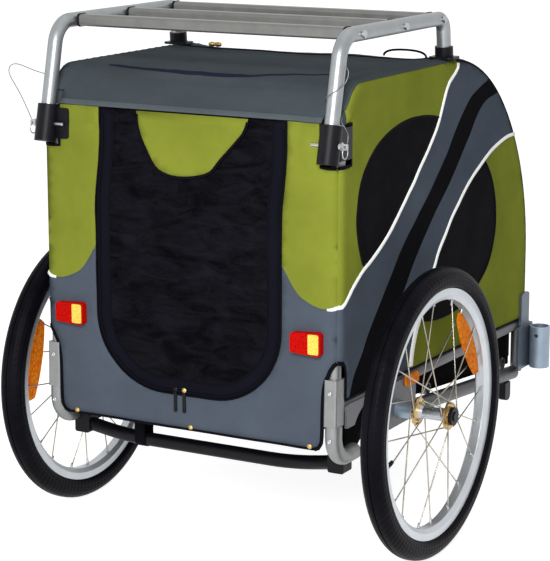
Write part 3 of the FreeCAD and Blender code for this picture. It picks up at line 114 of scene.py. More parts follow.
BAND_ABOVE = ((700, 668), (700, 900), (212, 900))
PIPING_CORNER = 468
PIPING_WIDTH = 7
BAND_WIDTH = 16
BAND_TAPER = (385, 425)
WINDOW_CENTRE = (132, 556)
WINDOW_HALF_AXES = (293, 176)
WINDOW_TILT = -14.3
WINDOW_POINTS = 96
CUT_OUT_FRONT = ((0, 352), (-4, 366), (-13, 374))
NOSE_SEAM = (ROOF_FRONT + 30, 664)
FRONT_EDGE = (470, 668)

# The rear wall, as (across, height).
CORNER_PIPING = ((263, 463.5), (268, 464), (274, 465.3), (279.4, PIPING_CORNER))
GREY_EDGE = ((170, 540), (178.6, 528), (205, 487), (228, 471), (248, 464), (263, 463.5),
             (279.4, PIPING_CORNER), (295, 474))
GREY_BELOW = ((400, 465), (400, 0), (-10, 0), (-10, 540))
DOOR_HALF_WIDTH = 178
DOOR_TOP = 762
DOOR_BOTTOM = 287
DOOR_RADIUS = 130
DOOR_BORDER = 25
DOOR_GAP = 0.6
ZIP_INSET = 5
ZIP_END = DOOR_TOP - 8
FLAP = ((-104.5, 761.5), (-103.5, 744), (-97.5, 721), (-87, 700), (-72, 677), (-58.6, 665), (-39.6, 658),
        (-20.4, 656), (-0.5, 657), (21, 661), (41, 669), (57.3, 690), (79.7, 715), (99.5, 737), (105.5, 752),
        (107.5, 761.5))
FLAP_BINDING = ((-104, 756), *FLAP[1:-1], (106.6, 756))
REAR_HEM = 228
REAR_TOP = 763
REAR_CUT_OUT = ((241, 228), (248, 231), (252.5, 238), (255, 252), (256.5, 318), (261, 345), (268, 362),
                (275, 372), (279.4, 376))
CUT_OUT_TOP = REAR_CUT_OUT[-1][1]
REAR_SHOULDER = 251.4
NOTCH_BOTTOM = 693
NOTCH_TOP = 760
NOTCH_FRONT = -175.5
NOTCH_LIP = -196
NOTCH_END = -170
NOTCH_SLACK = 8
# How near a point of an outline has to be to count as on an edge.
SLACK = 2

# The roof and front sheets; the fold is (across, forward), the window (bottom, top, half width, radius).
ROOF_CORNER = -198
ROOF_CORNER_X = 252
ROOF_FOLD = np.array(((-210, -118), (-150, -130), (-94, -140), (-15, -146), (60, -140), (110, -118),
                      (160, -92), (225, -70)))
FRONT_WINDOW = (390, 640, 190, 60)
ROOF_HEM_INSET = 6
FRONT_HEM_INSET = 3
# How far the tape of painted fold shadow sits from the fold.
FOLD_SHADOW_SHIFT = 2
# How much further along the nose the side pattern's stripe and green part go on.
STRIPE_WRAP = 8
GREEN_WRAP = 1

# Ripples of the cloth, as (size, height, seed, stretch).
EVEN = (1, 1)
SIDE_RIPPLES = ((85, 2.2, 3, EVEN), (34, 0.8, 9, EVEN))
REAR_RIPPLES = ((70, 1.6, 21, EVEN), (26, 0.7, 27, EVEN))
DOOR_RIPPLES = ((70, 2.6, 41, (1, 1.8)), (28, 1.3, 47, (1, 2.2)))
FLAP_RIPPLES = ((50, 0.5, 53, EVEN),)
ROOF_RIPPLES = ((80, 3.0, 61, (0.6, 1)), (30, 0.9, 67, EVEN))
ROOF_EDGE_RIPPLES = ((42, 4.5, 71, EVEN),)
TUB_RIPPLES = ((30, 1.5, 81, EVEN),)

# Creases of the cloth, as (start, end, width, height).
SIDE_CREASES = (((-190, 690), (-120, 560), 9, 1.6), ((-195, 640), (-150, 520), 8, 1.3),
                ((-160, 790), (40, 770), 10, 1.2), ((-150, 700), (-30, 780), 9, -1.2))
SOCKET_CREASES = (((194, 632), (265, 680), 6, 3.6), ((-222, 760), (-186, 728), 6, -3.0),
                  ((-190, 738), (-214, 699), 6, 2.4), ((192, 728), (244, 727), 6, 2.6),
                  ((197, 765), (222, 752), 6, 2.2), ((186, 554), (251, 657), 7, 2.4))
REAR_CREASES = (((262, 688), (196, 646), 5, 2.4), ((255, 690), (188, 676), 6, -1.6),
                ((246, 705), (186, 742), 6, 1.9), ((258, 676), (205, 560), 9, 1.6),
                ((250, 730), (192, 716), 5, 1.3), ((246, 320), (236, 258), 6, 1.6))
SOCKET_FOLD_STEP = 8

# How far from its edges the cloth settles, how hollow it lies there, and how it stands off along the tubes.
SIDE_SETTLE, REAR_SETTLE, ROOF_SETTLE, DOOR_SETTLE = 90, 40, 60, 80
SIDE_HOLLOW, ROOF_HOLLOW, DOOR_HOLLOW = 2.5, 5, 3
TUBE_WELT = 2.2
SIDE_WELT = 0.6 * TUBE_WELT
WELT_INSET = 14
WELT_WIDTH = 8
# Waves of the rear wall beside the uprights, as (distance from the middle, width, depth).
REAR_EDGE_WAVES = ((263, 3, 0.9), (254, 6, -0.7))
# The right socket's lug lies under the cloth: how far it pushes, and where it starts, as (start, reach).
LUG_BULGE = 5.6
LUG_SIDE = (206, 16)
LUG_BOTTOM = (678, 18)
LUG_ON_ROOF = 40
# The doorway's upper part is drawn to the right, from a height over a rise, less towards the uprights.
DOORWAY_LEAN = 10.5
LEAN_START, LEAN_RISE = 590, 130
LEAN_END, LEAN_FADE = 262, 70
FLAP_LIFT = 0.7
FLAP_STAND = 1.2
FLAP_TAPER = 20
# The roof's middle fold, as (left forward, right forward, reach across, width, height), and its rear hollow.
ROOF_MIDDLE_FOLD = (70, 95, 400, 14, 3.0)
ROOF_SAG = 9
ROOF_PUCKER_START, ROOF_PUCKER_FADE = 26, 10
ROOF_PUCKER, ROOF_PUCKER_WIDTH = 34, 15

# The lock pins' wires, as points (out from the rack's leg, forward, over the pin).
PIN_HEIGHT = 730
LEG_FOOT = (-233.5, 700)
LEG_LEAN = 45.2 / 198
LANYARD_DIAMETER = 1.6
LEFT_LANYARD = ((13.7, -208, 81), (27, -209, 83.5), (43, -210, 88), (58, -211, 93), (71, -212.5, 96),
                (81, -214, 93), (85, -215, 84), (81, -216, 74), (72, -217.5, 63), (61, -219.5, 50),
                (50, -222, 35), (39, -225, 19), (31, -226.65, 5.8))
RIGHT_LANYARD_START = ((13.7, -198.5, 122), (18.5, -199.5, 116.5), (19.5, -201.5, 108))
RIGHT_LANYARD_END = ((25, -219, 26), (31, -224, 20), (32.5, -226.65, 13), (31, -226.65, 5.8))
LANYARD_TURN_POINTS = 12
LANYARD_TURN_TOP = 96
LANYARD_TURN_BOTTOM = 38
LANYARD_TURN_RADIUS = 15.2

# Turned forms, as (along the axis, radius).
SCREW_HEAD = ((-1, 4.2), (0.6, 4.2), (1.6, 3.6), (2.0, 2.4), (2.0, 2.1), (0.9, 1.9), (0.9, 0.2))
SNAP = ((-1, 4.4), (0.8, 4.4), (1.3, 3.8), (1.0, 3.2), (2.0, 2.8), (2.4, 1.6), (2.4, 0.2))
NIPPLE = ((0, 1.5), (0.5, 2.1), (7, 2.1), (8, 2.6), (9.5, 2.6), (10, 1.8))
VALVE = ((0, 3.2), (6, 3.2), (6.4, 3.9), (10, 3.9), (10.4, 3.2), (20, 3.0), (20.4, 3.7), (30, 3.5),
         (31.5, 2.4))
SLIDER = ((0, 4.6), (1.2, 4.6), (2, 3.9), (2.3, 2.6), (3.5, 2.2), (3.9, 1.2), (3.9, 0.2))
TOGGLE = ((-13, 1.2), (-12.4, 3.0), (-10, 4.2), (-4, 4.6), (-3.4, 3.6), (3.4, 3.6), (4, 4.6), (10, 4.2),
          (12.4, 3.0), (13, 1.2))

# Small hardware: places, and how far each stands from the part that carries it.
SPOKES = 20
RIM_DEPTH = 55
NIPPLE_SINK = 9.5
SPOKE_STAGGER = 2.5
VALVE_ANGLE = {"right": 195, "left": 20}
SLEEVE_SCREW = (1.2, 22)
ELBOW_SCREW = (0.4, 24)
SNAPS = (-224, 5, 232)
SNAP_RISE = 3.5
TOGGLE_PLACE = (-185, 190, 831)
SLIDER_RISE = 4.8
RACK_BARS = {"rear": -137, "middle": 18, "front": 169}
GASKET_HALF_WIDTH, GASKET_HALF_HEIGHT, GASKET_RADIUS = 13.1, 10.6, 6.6
GASKET_STEP = 3
GASKET_INSET = 2.5
STRAP_X = -132
STRAP_HALF_WIDTH = 10
STRAP_THICKNESS = 1.4
STRAP_REACH = 13.8
STRAP_RISE = 13.2
STRAP_TOP = 277
STRAP_STEP = 6
STRAP_TURN_POINTS = 12
TUB_WALL = 246.5
TUB_FLAP = ((-131, 264), (-30, 264), (-30, 240), (-48, 216), (-80, 198), (-112, 190), (-131, 190))
HOOP_BEND = (-116, 736)
HOOP_BEND_RADIUS = 78
SLEEVE_RADIUS = 12.3
SLEEVE_TURN = (16, 47)
SLEEVE_POINTS = 10
SLEEVE_SIDES = 24

# Camera and light. A lamp is (name, place, target, size, power), in metres and watts.
CAMERA_PLACE = (1772, -3106, 1213)
CAMERA_TURN = (90 - 12.15, 0, 29.06)
CAMERA_LENS = 134
CAMERA_SENSOR = 36
CAMERA_REACH = 100
FLOOR_REACH = 30
FLOOR_GLOW = 0.85
AMBIENT = 0.26
LAMPS = (("key", (1.0, -2.5, 1.55), (0, 0, 0.5), 1.1, 56),
         ("fill", (-3.0, -2.4, 1.8), (0, 0, 0.5), 2.0, 5),
         ("top", (0.4, 0.6, 4.2), (0, 0, 0.5), 2.4, 6))


# Flat paths

def unit(vector):
    return vector / np.linalg.norm(vector)


def circle(count):
    """Cosine and sine at even steps round a circle."""
    return [(math.cos(2 * math.pi * k / count), math.sin(2 * math.pi * k / count)) for k in range(count)]


def divide(points, step=CLOTH_STEP, closed=False):
    """The same path with its long runs divided."""
    path = [np.array(p[:2], float) for p in points]
    if closed:
        path.append(path[0])
    out = [path[0]]
    for start, end in zip(path, path[1:]):
        count = max(1, math.ceil(np.linalg.norm(end - start) / step))
        out += [start + (end - start) * k / count for k in range(1, count + 1)]
    return out[:-1] if closed else out


def rounded(corners, step=CLOTH_STEP, closed=False):
    """Straight runs joined by tangent arcs; a corner is (x, y) or (x, y, radius)."""
    points = [np.array(c[:2], float) for c in corners]
    count = len(points)
    path = []
    for i, corner in enumerate(corners):
        radius = corner[2] if len(corner) > 2 else 0
        if not radius or (not closed and i in (0, count - 1)):
            path.append(points[i])
            continue
        back = unit(points[i - 1] - points[i])
        ahead = unit(points[(i + 1) % count] - points[i])
        half = math.acos(np.clip(back @ ahead, -1, 1)) / 2
        centre = points[i] + unit(back + ahead) * radius / math.sin(half)
        start = points[i] + back * radius / math.tan(half) - centre
        end = points[i] + ahead * radius / math.tan(half) - centre
        swing = math.atan2(start[0] * end[1] - start[1] * end[0], start @ end)
        pieces = max(4, math.ceil(abs(swing) * radius / step))
        for k in range(pieces + 1):
            turn = swing * k / pieces
            path.append(centre + np.array((start[0] * math.cos(turn) - start[1] * math.sin(turn),
                                           start[0] * math.sin(turn) + start[1] * math.cos(turn))))
    return divide(path, step, closed)


def smooth(points, step=CLOTH_STEP):
    """A smooth path through given points."""
    known = [np.array(p, float) for p in points]
    known = [2 * known[0] - known[1], *known, 2 * known[-1] - known[-2]]
    path = []
    for a, b, c, d in zip(known, known[1:], known[2:], known[3:]):
        count = max(1, math.ceil(np.linalg.norm(c - b) / step))
        for k in range(count):
            t = k / count
            path.append(0.5 * (2 * b + (c - a) * t + (2 * a - 5 * b + 4 * c - d) * t ** 2
                               + (3 * b - a - 3 * c + d) * t ** 3))
    return [*path, known[-2]]


def oval(centre, half_axes, tilt, count):
    turn = math.radians(tilt)
    path = []
    for cosine, sine in circle(count):
        x, y = half_axes[0] * cosine, half_axes[1] * sine
        path.append(np.array((centre[0] + x * math.cos(turn) - y * math.sin(turn),
                              centre[1] + x * math.sin(turn) + y * math.cos(turn))))
    return path


def inside(points, loop):
    """Which points lie inside a closed path."""
    points = np.asarray(points, float)
    ends = np.asarray(loop, float)
    x, y = points[:, 0, None], points[:, 1, None]
    x1, y1 = ends[:, 0], ends[:, 1]
    x2, y2 = np.roll(x1, -1), np.roll(y1, -1)
    rise = np.where(y2 == y1, 1e-12, y2 - y1)
    crossing = ((y1 > y) != (y2 > y)) & (x < (x2 - x1) * (y - y1) / rise + x1)
    return crossing.sum(axis=1) % 2 == 1


def distance_to(points, path):
    """Distance from each point to an open path."""
    points = np.asarray(points, float)[:, None, :]
    ends = np.asarray(path, float)
    start, run = ends[:-1], ends[1:] - ends[:-1]
    share = np.clip(((points - start) * run).sum(axis=2) / (run * run).sum(axis=1), 0, 1)
    nearest = start + share[..., None] * run
    return np.linalg.norm(points - nearest, axis=2).min(axis=1)


def path_length(path):
    return sum(np.linalg.norm(b - a) for a, b in zip(path, path[1:]))


def clip_line(path, loop):
    """The stretch of a path inside a closed outline."""
    return [p for p, keep in zip(path, inside(path, loop)) if keep]


def stretches(path, keep):
    """The runs of a closed path that are kept, each as an open path."""
    count = len(path)
    first = next((i for i in range(count) if keep[i] and not keep[i - 1]), 0)
    runs, run = [], []
    for i in range(first, first + count):
        if keep[i % count]:
            run.append(path[i % count])
        elif run:
            runs.append(run)
            run = []
    return runs + [run] if run else runs


# Materials; an owner is a material or the world.

# Radians that a wave pattern of scale one turns by in a metre.
WAVE_RATE = 20


def link(owner, source, target):
    owner.node_tree.links.new(source, target)


def add_node(owner, kind, **values):
    node = owner.node_tree.nodes.new(f"ShaderNode{kind}")
    for name, value in values.items():
        if name in node.inputs:
            node.inputs[name].default_value = value
        else:
            setattr(node, name, value)
    return node


def reckon(owner, operation, *values):
    """A step of arithmetic on outputs and plain numbers."""
    node = add_node(owner, "Math", operation=operation)
    for target, value in zip(node.inputs, values):
        if isinstance(value, (int, float)):
            target.default_value = value
        else:
            link(owner, value, target)
    return node.outputs[0]


def surface(material):
    """The inputs of a material's main shader."""
    return material.node_tree.nodes["Principled BSDF"].inputs


def shader(name, color, roughness, metallic=0.0, specular=0.5):
    material = bpy.data.materials.new(name)
    material.use_nodes = True
    values = surface(material)
    values["Base Color"].default_value = (*color, 1)
    values["Roughness"].default_value = roughness
    values["Metallic"].default_value = metallic
    values["Specular IOR Level"].default_value = specular
    material.diffuse_color = (*color, 1)
    return material


def coordinates(material, centre=(0, 0, 0)):
    """Places on the object, in metres, measured from a centre."""
    place = add_node(material, "TexCoord")
    shift = add_node(material, "VectorMath", operation="SUBTRACT")
    link(material, place.outputs["Object"], shift.inputs[0])
    shift.inputs[1].default_value = centre
    return shift.outputs[0]


def texture(material, kind, where, output="Fac", **values):
    """A pattern's value over the given places."""
    node = add_node(material, f"Tex{kind}", **values)
    link(material, where, node.inputs["Vector"])
    return node.outputs[output]


def color_by(material, value, *stops):
    """Colours the surface by a value; a stop is (place, colour)."""
    ramp = add_node(material, "ValToRGB")
    for element, (position, color) in zip(ramp.color_ramp.elements, stops):
        element.position = position
        element.color = (*color, 1)
    link(material, value, ramp.inputs["Fac"])
    link(material, ramp.outputs["Color"], surface(material)["Base Color"])


def tint(material, where, color, darkest, lightest, scale):
    """Colour that drifts between two shades."""
    cloud = texture(material, "Noise", where, Scale=scale, Detail=4.0, Roughness=0.6)
    dark, light = (tuple(min(1.0, c * factor) for c in color) for factor in (darkest, lightest))
    color_by(material, cloud, (0.35, dark), (0.65, light))
    return cloud


def relief(material, height, distance, strength):
    bump = add_node(material, "Bump", Strength=strength, Distance=distance)
    link(material, height, bump.inputs["Height"])
    link(material, bump.outputs["Normal"], surface(material)["Normal"])


def woven(material, where, period, share, folds):
    """Folds with a share of plain weave: fine waves along each axis."""
    scale = 2 * math.pi / WAVE_RATE / period
    waves = [texture(material, "Wave", where, Scale=scale, Distortion=0.3, bands_direction=direction)
             for direction in "XYZ"]
    weave = reckon(material, "ADD", reckon(material, "ADD", waves[0], waves[1]), waves[2])
    return reckon(material, "ADD", reckon(material, "MULTIPLY", weave, share), folds)


def fabric(name, color, drift=0.1, roughness=0.85, specular=0.05):
    """Coated polyester weave with faint creasing and uneven dye."""
    material = shader(name, color, roughness, specular=specular)
    where = coordinates(material)
    tint(material, where, color, 1 - drift, 1 + drift, 7)
    folds = texture(material, "Noise", where, Scale=38, Detail=6, Roughness=0.55)
    relief(material, woven(material, where, 0.0011, 0.08, folds), 0.0014, 0.5)
    return material


def net(name, color, light, glint_specks=0.0):
    """Black open net: fine threads and soft wrinkles, painted lighter along the wrinkles as sheen and in a
    few specks as glints.
    """
    material = shader(name, color, 0.7, specular=0.02)
    where = coordinates(material)
    stretch = add_node(material, "Mapping", Scale=(1, 1, 2.6))
    link(material, where, stretch.inputs["Vector"])
    folds = texture(material, "Noise", stretch.outputs["Vector"], Scale=16, Detail=9, Roughness=0.68,
                    Distortion=0.7)
    grain = texture(material, "Noise", where, Scale=420, Detail=2)
    # Lighter colour along the wrinkles and in scattered specks is painted sheen and painted glints.
    painted_sheen_and_glints = reckon(material, "ADD", folds, reckon(material, "MULTIPLY", grain, glint_specks))
    color_by(material, painted_sheen_and_glints, (0.46, color), (0.76, light))
    relief(material, woven(material, where, 0.0022, 0.03, folds), 0.003, 0.7)
    return material


def metal(name, color, roughness, drift=0.08, scale=30, metallic=0.9):
    """Satin metal with a faint grain and colour that drifts: handling marks when the drift is small, painted
    reflections when it is wide.
    """
    material = shader(name, color, roughness, metallic)
    where = coordinates(material)
    cloud = tint(material, where, color, 1 - drift, 1 + drift, scale)
    spread = add_node(material, "MapRange")
    spread.inputs["To Min"].default_value = roughness * 0.75
    spread.inputs["To Max"].default_value = min(1, roughness * 1.3)
    link(material, cloud, spread.inputs["Value"])
    link(material, spread.outputs["Result"], surface(material)["Roughness"])
    relief(material, texture(material, "Noise", where, Scale=900, Detail=2), 0.0002, 0.25)
    return material


def plastic(name, color, roughness):
    """Moulded plastic with a fine spark-eroded grain."""
    material = shader(name, color, roughness, specular=0.14)
    where = coordinates(material)
    tint(material, where, color, 0.8, 1.25, 60)
    relief(material, texture(material, "Voronoi", where, "Distance", Scale=1400), 0.0002, 0.35)
    return material


def reflector(name, color, light, cells_per_metre=330):
    """Clear moulded plastic over rows of small prisms, each prism painted lighter at its middle as a glint.
    """
    material = shader(name, color, 0.4, specular=0.02)
    cells = texture(material, "Voronoi", coordinates(material), "Distance", Scale=cells_per_metre,
                    distance="CHEBYCHEV")
    # The lighter colour at each prism's middle is a painted glint.
    color_by(material, cells, (0, light), (0.7, color))
    relief(material, cells, 0.0015, 0.8)
    return material


def tyre_rubber(name, centre):
    """Black rubber: ringed sidewalls, cross-cut tread, a little dust."""
    color = (0.003, 0.003, 0.0045)
    material = shader(name, color, 0.42, specular=0.035)
    where = coordinates(material, centre)
    tint(material, where, color, 1, 2.2, 14)
    rings = texture(material, "Wave", where, Scale=55, wave_type="RINGS", rings_direction="X")
    parts = add_node(material, "SeparateXYZ")
    link(material, where, parts.inputs[0])
    angle = reckon(material, "ARCTAN2", parts.outputs["Z"], parts.outputs["Y"])
    slant = reckon(material, "ADD", reckon(material, "MULTIPLY", angle, 130),
                   reckon(material, "MULTIPLY", parts.outputs["X"], 420))
    blocks = reckon(material, "MULTIPLY", reckon(material, "SINE", slant), 0.35)
    relief(material, reckon(material, "ADD", blocks, rings), 0.0006, 0.5)
    return material


def hub_metal(name, centre):
    """Bright barrel between brassy flanges."""
    silver, gold = (0.42, 0.44, 0.47), (0.5, 0.34, 0.13)
    material = metal(name, silver, 0.27)
    parts = add_node(material, "SeparateXYZ")
    link(material, coordinates(material, centre), parts.inputs[0])
    outward = reckon(material, "MULTIPLY", reckon(material, "ABSOLUTE", parts.outputs["X"]), 20)
    color_by(material, outward, (0.4, silver), (0.5, gold))
    return material


def ribbed_plastic(name, color):
    """Black sleeve with fine ridges along it."""
    material = plastic(name, color, 0.42)
    ribs = texture(material, "Wave", coordinates(material), Scale=18, bands_direction="Z")
    relief(material, ribs, 0.0015, 0.7)
    return material


green = fabric("green_fabric", (0.24, 0.274, 0.032))
grey = fabric("grey_fabric", (0.088, 0.108, 0.138))
slate = fabric("roof_fabric", (0.072, 0.088, 0.098))
slate_hem = fabric("roof_hem", (0.108, 0.13, 0.142))
# Dark navy cloth for the tape that paints the shadow line along the roof's fold.
fold_shadow_navy = fabric("roof_fold_shadow", (0.016, 0.02, 0.042))
black_cloth = fabric("black_fabric", (0.0045, 0.004, 0.005), specular=0.02)
binding = fabric("black_binding", (0.005, 0.005, 0.008), roughness=0.7, specular=0.03)
door_binding = fabric("door_binding", (0.006, 0.0065, 0.0115), roughness=0.7, specular=0.03)
mesh_net = net("black_mesh", (0.002, 0.002, 0.003), (0.01, 0.01, 0.014), 0.2)
window_net = net("window_mesh", (0.003, 0.003, 0.004), (0.006, 0.006, 0.008))
piping_white = fabric("reflective_piping", (0.94, 0.94, 0.91), drift=0.03, roughness=0.5)
# The piping's faint white glow paints the light its reflective threads throw back; the piping is no lamp.
surface(piping_white)["Emission Color"].default_value = (1, 1, 0.97, 1)
surface(piping_white)["Emission Strength"].default_value = 0.2
frame_silver = metal("frame_alloy", (0.26, 0.265, 0.265), 0.42, metallic=0.7)
rack_silver = metal("rack_alloy", (0.33, 0.35, 0.36), 0.38, metallic=0.8)
bar_silver = metal("bar_alloy", (0.21, 0.21, 0.2), 0.4, metallic=0.8)
dark_alloy = metal("dark_alloy", (0.085, 0.085, 0.095), 0.4, metallic=0.6)
dull_silver = metal("dull_alloy", (0.17, 0.17, 0.18), 0.5, metallic=0.55)
bracket_silver = metal("bracket_alloy", (0.32, 0.39, 0.47), 0.42, metallic=0.7)
plate_silver = metal("plate_alloy", (0.13, 0.155, 0.19), 0.42, metallic=0.7)
rim_silver = metal("rim_alloy", (0.6, 0.63, 0.66), 0.36, drift=0.05, metallic=0.6)
# The spokes' wide colour drift paints dark and bright reflections along them.
spoke_steel = metal("spoke_steel", (0.4, 0.37, 0.3), 0.25, drift=0.6, scale=12)
bright_steel = metal("bright_steel", (0.44, 0.45, 0.46), 0.3)
brass = metal("brass_look", (0.55, 0.36, 0.13), 0.3)
wire_steel = metal("lanyard_steel", (0.2, 0.2, 0.2), 0.4)
black_metal = plastic("black_steel", (0.006, 0.006, 0.007), 0.4)
black_bar = ribbed_plastic("black_bar", (0.006, 0.006, 0.008))
black_plastic = plastic("black_plastic", (0.006, 0.006, 0.009), 0.38)
amber = reflector("amber_reflector", (1.0, 0.122, 0.004), (1.0, 0.46, 0.03), 150)
amber_pale = reflector("amber_lens", (1.0, 0.62, 0.04), (1.0, 0.95, 0.24))
red = reflector("red_reflector", (0.45, 0.003, 0.002), (0.8, 0.009, 0.005))

NODE_MATERIALS = {
    "rim": rim_silver, "spokes": spoke_steel, "hub_bearings": black_metal,
    "spoke_reflector": amber, "axle": black_metal, "axle_button": black_plastic, "side_hoop": frame_silver,
    "rack_side_tube": rack_silver, "rack_socket": black_plastic, "lock_pin": bright_steel,
    "zip_pull": black_plastic, "receiver": bracket_silver, "corner_elbows": frame_silver,
    "upright_sleeves": frame_silver, "upper_rails": dull_silver, "lower_rails": dark_alloy,
    "axle_plates": dull_silver, "axle_receivers": bracket_silver, "axle_beam": dull_silver,
    "floor_cross_tubes": dull_silver, "floor_board": black_cloth, "rear_cross_bar": black_bar,
    "cross_bar_clamps": black_plastic, "front_brackets": plate_silver, "front_feet": black_plastic,
    "rack_bars": bar_silver, "rack_bolts": bright_steel, "rack_front_feet": black_plastic,
    "tail_reflectors": red, "tail_reflector_lenses": amber_pale, "side_reflectors": amber,
}
# What a tape is made of: its material and its slot.
BINDING = (binding, "black_binding")
PIPING = (piping_white, "grey_fabric")
ROOF_TAPE = (slate, "roof_fabric")


def dress_nodes():
    """Each solid that stays in sight gets its finish."""
    finishes = dict(NODE_MATERIALS)
    for name, side in SIDES.items():
        centre = at(side * WHEEL_X, 0, AXLE_HEIGHT)
        finishes[f"tyre_{name}"] = tyre_rubber(f"tyre_rubber_{name}", centre)
        finishes[f"hub_{name}"] = hub_metal(f"hub_alloy_{name}", centre)
    for name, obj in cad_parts.items():
        stem = name.removesuffix("_right").removesuffix("_left")
        material = finishes.get(name) or finishes.get(stem)
        if material:
            obj.data.materials.clear()
            obj.data.materials.append(material)


# Pieces

def mesh_object(name, vertices, faces, materials, slot, indices=None):
    """A smoothly shaded mesh; vertices are in metres."""
    mesh = bpy.data.meshes.new(name)
    mesh.from_pydata([tuple(v) for v in vertices], [], faces)
    for material in materials:
        mesh.materials.append(material)
    if indices is not None:
        mesh.polygons.foreach_set("material_index", indices)
    mesh.polygons.foreach_set("use_smooth", [True] * len(mesh.polygons))
    mesh.update()
    obj = bpy.data.objects.new(name, mesh)
    bpy.context.scene.collection.objects.link(obj)
    return obj


def piece(name, vertices, faces, materials, body, slot, indices=None):
    """A mesh piece that rides on a body."""
    obj = mesh_object(name, vertices, faces, materials, slot, indices)
    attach(obj, body)
    return obj


def thicken(obj, thickness, offset):
    thick = obj.modifiers.new("thickness", "SOLIDIFY")
    thick.thickness = thickness * MM
    thick.offset = offset


def tube_faces(rings, sides, first=0, closed=False):
    """Faces of a tube made of rings of vertices, with end caps unless it closes on itself."""
    faces = []
    for i in range(rings if closed else rings - 1):
        a, b = first + i * sides, first + (i + 1) % rings * sides
        for k in range(sides):
            m = (k + 1) % sides
            faces.append((a + k, a + m, b + m, b + k))
    if not closed:
        faces.append(tuple(first + k for k in range(sides))[::-1])
        faces.append(tuple(first + (rings - 1) * sides + k for k in range(sides)))
    return faces


def cut_cloth(outline, lines):
    """Points and triangles of a flat sheet inside its outline, kept to the given lines, and its area."""
    lines = [line for line in lines if len(line) > 1]
    points = list(outline)
    edges = [(i, (i + 1) % len(outline)) for i in range(len(outline))]
    for line in lines:
        edges += [(len(points) + i, len(points) + i + 1) for i in range(len(line) - 1)]
        points += list(line)
    low, high = np.min(points, axis=0), np.max(points, axis=0)
    rows = np.arange(low[1], high[1], CLOTH_STEP * math.sqrt(3) / 2)
    grid = np.array([(x + (CLOTH_STEP / 2 if k % 2 else 0), y) for k, y in enumerate(rows)
                     for x in np.arange(low[0], high[0], CLOTH_STEP)])
    grid = grid[inside(grid, outline)]
    for path in ([*outline, outline[0]], *lines):
        grid = grid[distance_to(grid, path) > CLOTH_STEP * GRID_CLEARANCE]
    result = delaunay_2d_cdt([Vector(p) for p in [*points, *grid]], edges, [], 0, 1e-5)
    flat = np.array([tuple(v) for v in result[0]])
    faces = np.array([list(f) for f in result[2]])
    faces = faces[inside(flat[faces].mean(axis=1), outline)]
    a, b, c = (flat[faces[:, k]] for k in range(3))
    area = ((b - a)[:, 0] * (c - a)[:, 1] - (b - a)[:, 1] * (c - a)[:, 0]) / 2
    faces[area < 0] = faces[area < 0][:, ::-1]
    return flat, faces, float(np.abs(area).sum())


def one_part(middles):
    return np.zeros(len(middles))


def cloth(name, outline, lines, place, region_of, materials, slot, nodes=(), body="trailer_frame",
          flip=False):
    """A sewn panel: cut flat along its lines, placed in space by a function, coloured by region."""
    flat, faces, area = cut_cloth(outline, lines)
    indices = region_of(flat[faces].mean(axis=1)).astype(int)
    if flip:
        faces = faces[:, ::-1]
    used = np.unique(faces)
    renumber = {old: new for new, old in enumerate(used)}
    faces = [[renumber[i] for i in f] for f in faces]
    obj = piece(name, place(flat[used]) * MM, faces, materials, body, slot, indices)
    thicken(obj, CLOTH_THICKNESS, -1)
    if nodes:
        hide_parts(*nodes)


def sweep(name, points, normals, section, finish, body="trailer_frame", closed=False, sides=10):
    """A tape or piping along a path, its oval section as (width, height, lift), all in millimetres."""
    points = np.asarray(points, float)
    normals = np.asarray(normals, float)
    width, height, lift = section
    count = len(points)
    widths = np.broadcast_to(width, count)
    vertices = []
    for i in range(count):
        back = points[i - 1] if i or closed else points[i]
        ahead = points[(i + 1) % count] if i < count - 1 or closed else points[i]
        along = unit(ahead - back)
        out = unit(normals[i] - along * (normals[i] @ along))
        across = np.cross(along, out)
        for cosine, sine in circle(sides):
            vertices.append((points[i] + out * (lift + height / 2 * sine)
                             + across * widths[i] / 2 * cosine) * MM)
    material, slot = finish
    piece(name, vertices, tube_faces(count, sides, closed=closed), [material], body, slot)


def on_surface(path, place, nudge=0.5):
    """Points and outward normals of a flat path laid on a placed surface."""
    path = np.asarray(path, float)
    along_x = place(path + (nudge, 0)) - place(path - (nudge, 0))
    along_y = place(path + (0, nudge)) - place(path - (0, nudge))
    normals = np.cross(along_x, along_y)
    return place(path), normals / np.linalg.norm(normals, axis=1)[:, None]


def tape(name, path, place, section, finish, body="trailer_frame", closed=False, side=RIGHT):
    """A tape sewn along a flat path of a placed panel."""
    points, normals = on_surface(path, place)
    sweep(name, points, normals * side, section, finish, body, closed)


# Where the flat patterns lie in space

def fade(values, start, reach):
    """From nought at the start to one over a reach."""
    return np.clip((values - start) / reach, 0, 1)


def bell(values, middle, width):
    """One in the middle, falling off on both sides."""
    return np.exp(-((values - middle) / width) ** 2)


def edge_sink(distance):
    """How far cloth drops where it rounds a frame tube, by its distance from the edge."""
    reach = np.clip(EDGE_ROUND - distance, 0, EDGE_ROUND)
    return EDGE_ROUND - np.sqrt(EDGE_ROUND ** 2 - reach ** 2)


def ripple(points, rows, seed_shift=0):
    """Soft unevenness of stretched cloth."""
    rise = np.zeros(len(points))
    for size, height, seed, stretch in rows:
        places = points * stretch / size
        rise += height * np.array([noise.noise(Vector((*p, seed + seed_shift))) for p in places])
    return rise


def creases(points, rows):
    """Long soft folds between pairs of places."""
    rise = np.zeros(len(points))
    for start, end, width, height in rows:
        rise += height * bell(distance_to(points, (start, end)), 0, width)
    return rise


profile = np.array(rounded(PROFILE, PROFILE_STEP))
profile_runs = np.linalg.norm(np.diff(profile, axis=0), axis=1)
profile_length = np.concatenate(([0], np.cumsum(profile_runs)))
side_edge = [(REAR, SIDE_EDGE_LOW), (REAR, SIDE_EDGE_HIGH), *profile, (PROFILE[-1][0], FRONT_EDGE_LOW)]


